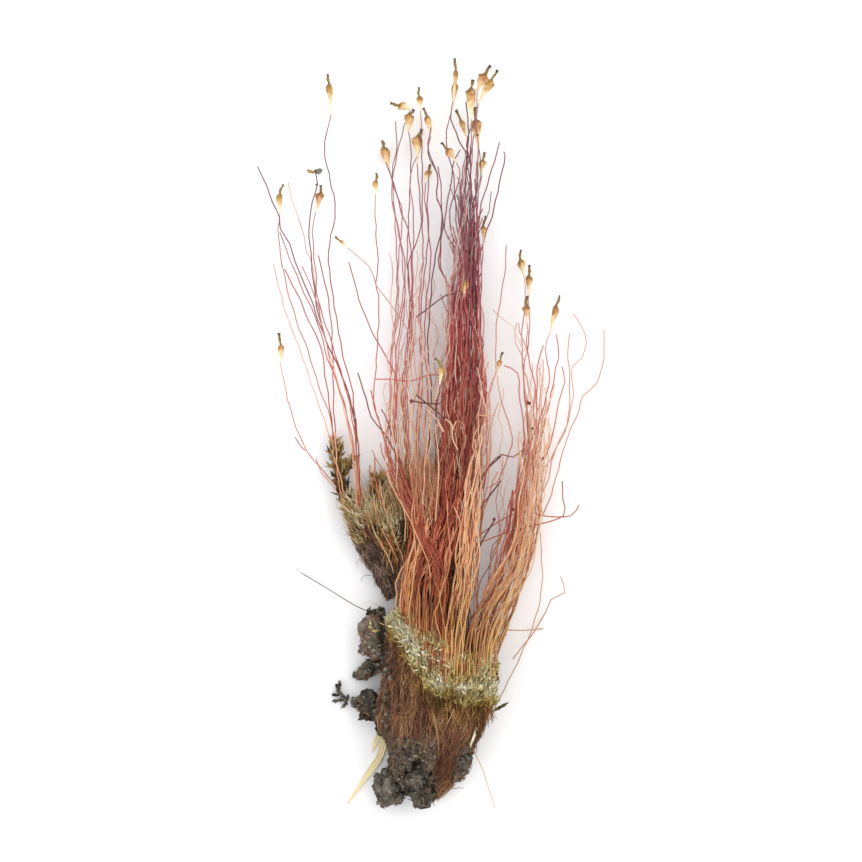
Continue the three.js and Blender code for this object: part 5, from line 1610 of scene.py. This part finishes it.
def loose_heaps():
    """Heaps of loose grains that join the lumps to the felt and trail off from them."""
    rng = random.Random(66)
    bm = new_body()
    for centre, half, count in (
        ((-6.4, -20.2, 2.8), (1.1, 0.5, 1.2), 70), ((-5.5, -24.6, 2.8), (0.8, 2.6, 1.8), 230),
        ((-8.2, -27.5, 0.7), (0.8, 0.35, 0.5), 60), ((-6.2, -26.3, 1.8), (0.9, 0.7, 1.2), 90),
        ((-8.2, -30.7, 0.6), (1.0, 0.6, 0.5), 110), ((-5.6, -31.6, 2.0), (1.0, 1.6, 1.6), 190),
        ((-4.3, -35.6, 2.2), (0.6, 2.2, 1.6), 120), ((-2.2, -39.8, 2.2), (0.9, 1.2, 1.4), 90),
        ((-3.1, -40.0, 1.4), (0.6, 1.3, 1.2), 130), ((-3.0, -38.6, 4.4), (0.7, 1.0, 1.0), 110),
        ((-3.0, -37.6, 3.6), (1.3, 0.8, 1.2), 130), ((-5.2, -32.9, 2.2), (1.1, 1.5, 1.6), 150),
    ):
        for _ in range(count):
            off = random_direction(rng)
            spot = within(centre, half, off)
            spot.z = max(0.2, spot.z)
            add_crumb(bm, spot, off.normalized(), rng.triangular(0.1, 0.7, 0.2), rng)
    piece("loose_dung", bm, DUNG, "dung")


def branched_crumb():
    """The loose crumb: a few grains of dung that hang together in branches."""
    rng = random.Random(60)
    bm = new_body()
    branches = [
        [(-9.5, -30.0, 0.5), (-9.8, -30.4, 0.7), (-9.9, -31.0, 0.5), (-10.3, -31.2, 0.4)],
        [(-9.8, -30.4, 0.7), (-10.3, -29.8, 0.8), (-10.7, -29.3, 0.7), (-11.0, -28.7, 0.5)],
        [(-10.7, -29.3, 0.7), (-10.6, -28.8, 0.8), (-10.5, -28.3, 0.7)],
        [(-10.3, -29.8, 0.8), (-10.9, -29.8, 0.6), (-11.3, -29.8, 0.5)],
        [(-9.9, -30.5, 0.6), (-10.6, -30.4, 0.5), (-11.1, -30.6, 0.5)],
    ]
    add_strands(bm, [(smooth(b, 0.2), 0.11, 0.0) for b in branches], 6)
    for branch in branches:
        for spot in smooth(branch, 0.12):
            for _ in range(3):
                off = random_direction(rng) * 0.17
                add_crumb(bm, spot + off, off.normalized(), rng.triangular(0.1, 0.42, 0.2), rng)
    piece("dung_crumb_branches", bm, DUNG, "dung", "dung_crumb")


# Where brown threads are bunched on the side clump: (centre, half size)
THREAD_BUNCHES = [
    ((-3.3, -11, 3.9), (0.7, 1.1, 0.5)), ((-6.4, -11.4, 3.6), (0.6, 0.7, 0.4)),
    ((-8.2, -11.2, 2.9), (0.5, 0.6, 0.4)), ((-3.8, -13.6, 3.2), (0.6, 1.4, 0.5)),
]
# The stalks that lie over the side clump: (points, shade)
STALKS_OVER_SIDE = [
    ([(-6, -5.5, 2.7), (-5, -9.5, 3.7), (-3.5, -13.5, 3.6), (-3.4, -14.5, 3.4), (-3.9, -17.5, 2.7)], 0.6),
    ([(-4.5, -5, 3), (-3, -8, 3.5), (-1.2, -12.2, 5.4), (-0.3, -16, 5.9), (-0.1, -18, 6.2)], 0.5),
    ([(-11, 0.6, 2.7), (-10.8, -3, 2.9), (-10.1, -6, 2.7), (-9, -8.6, 2.8),
      (-7.4, -11.6, 3.3)], 0.75),
    ([(-11.5, 0.2, 2.6), (-11, -3.4, 2.8), (-10.3, -6.6, 2.5), (-9.2, -9.4, 2.4)], 0.6),
    ([(-6.5, -2.4, 2.4), (-6.2, -5.4, 2.6), (-5.6, -8.6, 3.5), (-4.6, -12.2, 3.9),
      (-3.8, -15, 3.3)], 0.45),
    ([(-8.6, -3, 2.7), (-8.3, -6.4, 2.9), (-7.4, -9.6, 3.8), (-6.4, -12, 3.6)], 0.85),
    ([(-7, -3.2, 2.5), (-6.6, -7, 2.9), (-5.9, -10.8, 3.9), (-5.4, -13, 3.6)], 0.3),
    ([(-5.9, -5.2, 3), (-5.3, -8.2, 3.9), (-4.4, -11, 4.3), (-3.4, -13.4, 4), (-3.1, -14.6, 3.8)], 0.9),
    ([(-6.6, -7.4, 3.6), (-5.8, -10.2, 4.4), (-4.6, -12.6, 4.2), (-3.7, -14.4, 3.8)], 0.8),
    ([(-7.4, -8, 3.4), (-6.6, -10.6, 4.3), (-5.3, -12.8, 4.1), (-4.3, -15.6, 3.4)], 0.95),
]


def olive_fuzz(rng):
    """Olive fuzz that stands in the gap between the two clumps."""
    fuzz = []
    for _ in range(OLIVE_FUZZ):
        low = rng.triangular(-16, -4, -8)
        t = clamp((low + 18) / 13)
        x = rng.uniform(mix(-5.0, -7.2, t), mix(-1.0, 1.2, t))
        low -= 2.6 * clamp((-2.4 - x) / 2) * t
        points = [Vector((x, low, rng.uniform(0.4, mix(4.4, 3.0, t))))]
        heading = Vector((rng.gauss(0.05, 0.35), 1, rng.gauss(0, 0.12)))
        for _ in range(rng.randint(4, 8)):
            heading = heading + random_direction(rng) * 0.3
            points.append(points[-1] + heading.normalized() * 0.55)
        tone = clamp(0.42 + 0.35 * t + rng.gauss(0, 0.2))
        fuzz.append(hair_line(points, RHIZOID * rng.uniform(0.7, 1.3), tone))
    strand_piece("olive_fuzz", fuzz, 3, OLIVE_HAIR, "felt")


def amber_fan(rng):
    """Fine amber hairs that fan out from the crossing bundle."""
    fan = []
    for _ in range(AMBER_FAN_HAIRS):
        t = rng.random()
        start = Vector((mix(-2.4, 0.6, t) * 0.7, rng.uniform(-14, -7), 0))
        aim = Vector((mix(-2.6, 1.2, t), rng.uniform(-6, -1.5), 0))
        layer, sway = rng.uniform(2.0, 4.3), rng.gauss(0, 0.25)
        points = []
        for i in range(9):
            spot = start.lerp(aim, i / 8)
            spot.x += sway * math.sin(i * 0.6) + rng.gauss(0, 0.13)
            spot.z = layer_height(layer, spot.y)
            points.append(spot)
        fan.append((*hair_line(points, RHIZOID * rng.uniform(0.7, 1.2), rng.uniform(0.35, 1.0)), 1.0))
    strand_piece("amber_fan", fan, 3, DRIED_SETA, "felt")


def brown_threads(rng):
    """Brown threads among the feet of the setae, and bunches of them on the side clump."""
    lines = []
    for _ in range(SIDE_THREADS):
        low = rng.uniform(-26, -10)
        reach = mix(6.4, 3.4, clamp((low + 25) / 4))
        start = Vector((rng.uniform(mix(-4.2, -2.4, (low + 26) / 16), reach), low, rng.uniform(0.5, 4)))
        lean = clamp((start.x - 4) / 3) * 0.35
        heading = Vector((lean + rng.gauss(0, 0.12), 1, rng.gauss(0, 0.06))).normalized()
        points = [start + heading * 0.9 * i + random_direction(rng) * 0.12 for i in range(5)]
        lines.append(hair_line(points, RHIZOID * 1.3, clamp(rng.gauss(0.12, 0.1))))
    for centre, half in THREAD_BUNCHES:
        for _ in range(45):
            start = within(centre, half, random_direction(rng))
            heading = (start - SIDE_FOOT).normalized() * 0.3 + random_direction(rng) * 0.12
            points = [start + heading * i + random_direction(rng) * 0.05 for i in range(5)]
            lines.append(hair_line(points, RHIZOID * 1.2, clamp(rng.gauss(0.08, 0.08))))
    strand_piece("side_threads", lines, 3, RHIZOID_HAIR, "felt")


def between_clumps():
    """What is tangled between the side clump and the main one: fuzz, threads and stray stalks."""
    rng = random.Random(12)
    olive_fuzz(rng)
    amber_fan(rng)
    brown_threads(rng)
    stalks = []
    for route, shade in STALKS_OVER_SIDE:
        points = smooth(route, 0.8)
        for point in points[1:-1]:
            point.x += rng.gauss(0, 0.07)
        stalks.append((ended(points), SETA * rng.uniform(0.75, 1.05), shade, 1.0))
    strand_piece("setae_over_side", stalks, 6, DRIED_SETA, "seta")


def strays():
    """The single hairs beside the foot, a chip of straw, and the pale scrap on the upper lump."""
    rng = random.Random(14)
    dark = smooth([(-7.2, -20.1, 2.7), (-9.0, -19.3, 1.7), (-12.0, -17.5, 0.8), (-15.4, -15.5, 0.4)], 0.7)
    curl = smooth([(-6.9, -16.0, 0.9), (-7.6, -16.0, 0.8), (-8.0, -16.4, 0.6), (-8.0, -16.8, 0.5)], 0.2)
    hook = smooth([(-8.2, -14.0, 0.9), (-8.6, -14.6, 0.8), (-8.5, -15.2, 0.6)], 0.2)
    chip = smooth([(-7.4, -18.8, 1.0), (-6.4, -19.3, 1.3), (-5.45, -19.6, 1.2)], 0.4)
    hairs = [(dark, 0.055, 0.3), hair_line(curl, 0.05, 0.6), hair_line(hook, 0.04, 0.7)]
    strand_piece("stray_hairs_left", hairs, 6, DARK_HAIR, "felt")
    strand_piece("straw_chip", [(chip, 0.05, 0.5)], 6, STRAW, "straw")
    bm = new_body()
    for spot, heading, size, tone in (
        ((-6.95, -21.35, 4.7), (0.1, -1, 0.0), (0.3, 0.7, 0.4), 0.55),
        ((-6.9, -21.8, 4.8), (0.9, -0.6, 0), (0.42, 0.75, 0.5), 0.3),
        ((-6.5, -22.2, 4.9), (1, -0.15, 0), (0.34, 0.85, 0.4), 0.5),
        ((-6.1, -22.1, 4.85), (1, 0.3, 0), (0.4, 0.6, 0.4), 0.2),
    ):
        set_down(bm, rng.choice(CRUMBS), Vector(spot), Vector(heading), UP, size, tone)
    piece("pale_scrap", bm, MAT_LEAF, "leaf")


def blade(path, widths, height, ridges):
    """A dry grass blade along a path: a thin ridged strip, closed all round."""
    bm = new_body()
    bmesh.ops.create_grid(bm, x_segments=10, y_segments=44, size=0.5)
    layers = bm.verts.layers.float
    points = smooth(path, 0.1)
    for v in bm.verts:
        t = v.co.y + 0.5
        side = v.co.x * 2
        place = t * (len(points) - 2)
        i = int(place)
        centre = points[i].lerp(points[i + 1], place - i)
        heading = (points[i + 1] - points[i]).normalized()
        over = Vector((heading.y, -heading.x, 0))
        half = along(widths, t)
        v[layers["along"]] = t
        v[layers["across"]] = side * half
        fold = 0.06 * math.cos(ridges * side) + 0.2 * side * side
        v.co = centre + over * side * half + UP * (height + half * fold)
    bmesh.ops.recalc_face_normals(bm, faces=bm.faces)
    bmesh.ops.solidify(bm, geom=bm.faces[:], thickness=0.09)
    return bm


def straw():
    """The dry blade at the lower left, with a shorter split piece beside its thick end."""
    bm = blade(
        [(-9.6, -42.4, 0), (-8.0, -40.0, 0), (-6.2, -37.4, 0), (-5.5, -35.5, 0), (-5.2, -33.9, 0)],
        [[0, 0.04], [0.08, 0.14], [0.35, 0.3], [0.6, 0.42], [0.85, 0.46], [1, 0.4]], 0.22, 5,
    )
    split = blade(
        [(-6.8, -36.5, 0), (-6.35, -35.2, 0), (-5.8, -34.0, 0)],
        [[0, 0.05], [0.3, 0.24], [0.8, 0.3], [1, 0.2]], 0.4, 4,
    )
    add_mesh(bm, mesh_of(split, "split"))
    piece("dry_straw_blade", bm, STRAW, "straw", "straw")


# Where the upper lump is cut off: a spot, and the way out of the lump there
UPPER_TRIM = (Vector((-7.4, -20.3, 2.2)), Vector((-0.82, 0.55, -0.3)))
# The lumps of dung: (node, relief, swell, crumbs, hairs, cut, shade, seed)
LUMPS = [
    ("dung_foot_left", 0.5, 1.2, 620, 14, None, 0.14, 51),
    ("dung_foot_middle", 0.5, 1.1, 700, 28, None, -0.08, 52),
    ("dung_foot_right", 0.45, 0.5, 300, 50, None, 0.1, 53),
    ("dung_side_upper", 0.45, 0.8, 380, 150, UPPER_TRIM, 0.3, 54),
    ("dung_side_middle", 0.4, 0.0, 160, 30, None, 0.1, 55),
    ("dung_side_lower", 0.5, 1.1, 420, 30, None, -0.08, 56),
]

main_felt()
side_felt()
hairs_over_dung = [line for settings in LUMPS for line in lump(*settings)]
strand_piece("hairs_over_dung", hairs_over_dung, 3, RHIZOID_HAIR, "felt")
branched_crumb()
loose_heaps()
between_clumps()
strays()
straw()


# The scene


def clear_shapers():
    """Takes away the rings and templates that the pieces were made with."""
    for holder in PROFILES.values():
        outline = holder.data
        bpy.data.objects.remove(holder)
        bpy.data.curves.remove(outline)
    for template in LEAVES + CRUMBS:
        bpy.data.meshes.remove(template)


def photo_floor():
    """A plain, nearly white sheet under the clump."""
    bm = bmesh.new()
    bmesh.ops.create_grid(bm, x_segments=1, y_segments=1, size=0.6)
    floor = placed("floor", mesh_of(bm, "floor"))
    material, _, principled = new_material("white_sheet", 0.9, 0.1)
    principled.inputs["Base Color"].default_value = linear("#f6f6f7")
    floor.data.materials.append(material)


def lamp(name, place, size, power, colour):
    """A round soft lamp that looks at the middle of the clump's foot."""
    light = bpy.data.lights.new(name, "AREA")
    light.shape = "DISK"
    light.size = size
    light.energy = power
    light.color = linear(colour)[:3]
    holder = placed(name, light)
    holder.location = place
    holder.rotation_euler = (-Vector(place)).to_track_quat("-Z", "Y").to_euler()


def white_surroundings():
    """The even white light from all round, and the plain colour response of the photograph."""
    world = bpy.data.worlds.new("studio")
    world.use_nodes = True
    background = world.node_tree.nodes["Background"]
    background.inputs["Color"].default_value = linear("#ffffff")
    background.inputs["Strength"].default_value = 1.06
    bpy.context.scene.world = world
    bpy.context.scene.view_settings.view_transform = "Standard"


def straight_down_camera():
    """Looks straight down, as the photograph does; its frame is 99.1 mm wide at mid height."""
    lens, sensor, frame_width, mid_height, middle_y = 150.0, 36.0, 0.0991, 3 * MM, 0.00069
    lens_data = bpy.data.cameras.new("camera")
    lens_data.lens = lens
    lens_data.sensor_width = sensor
    lens_data.clip_start = 0.01
    camera = placed("camera", lens_data)
    camera.location = (0.0, middle_y, frame_width * lens / sensor + mid_height)
    bpy.context.scene.camera = camera


clear_shapers()
photo_floor()
lamp("window", (0.3, 0.22, 0.5), 0.6, 1.3, "#fffcf6")
lamp("fill", (-0.3, -0.2, 0.5), 0.6, 0.6, "#fbfbff")
white_surroundings()
straight_down_camera()
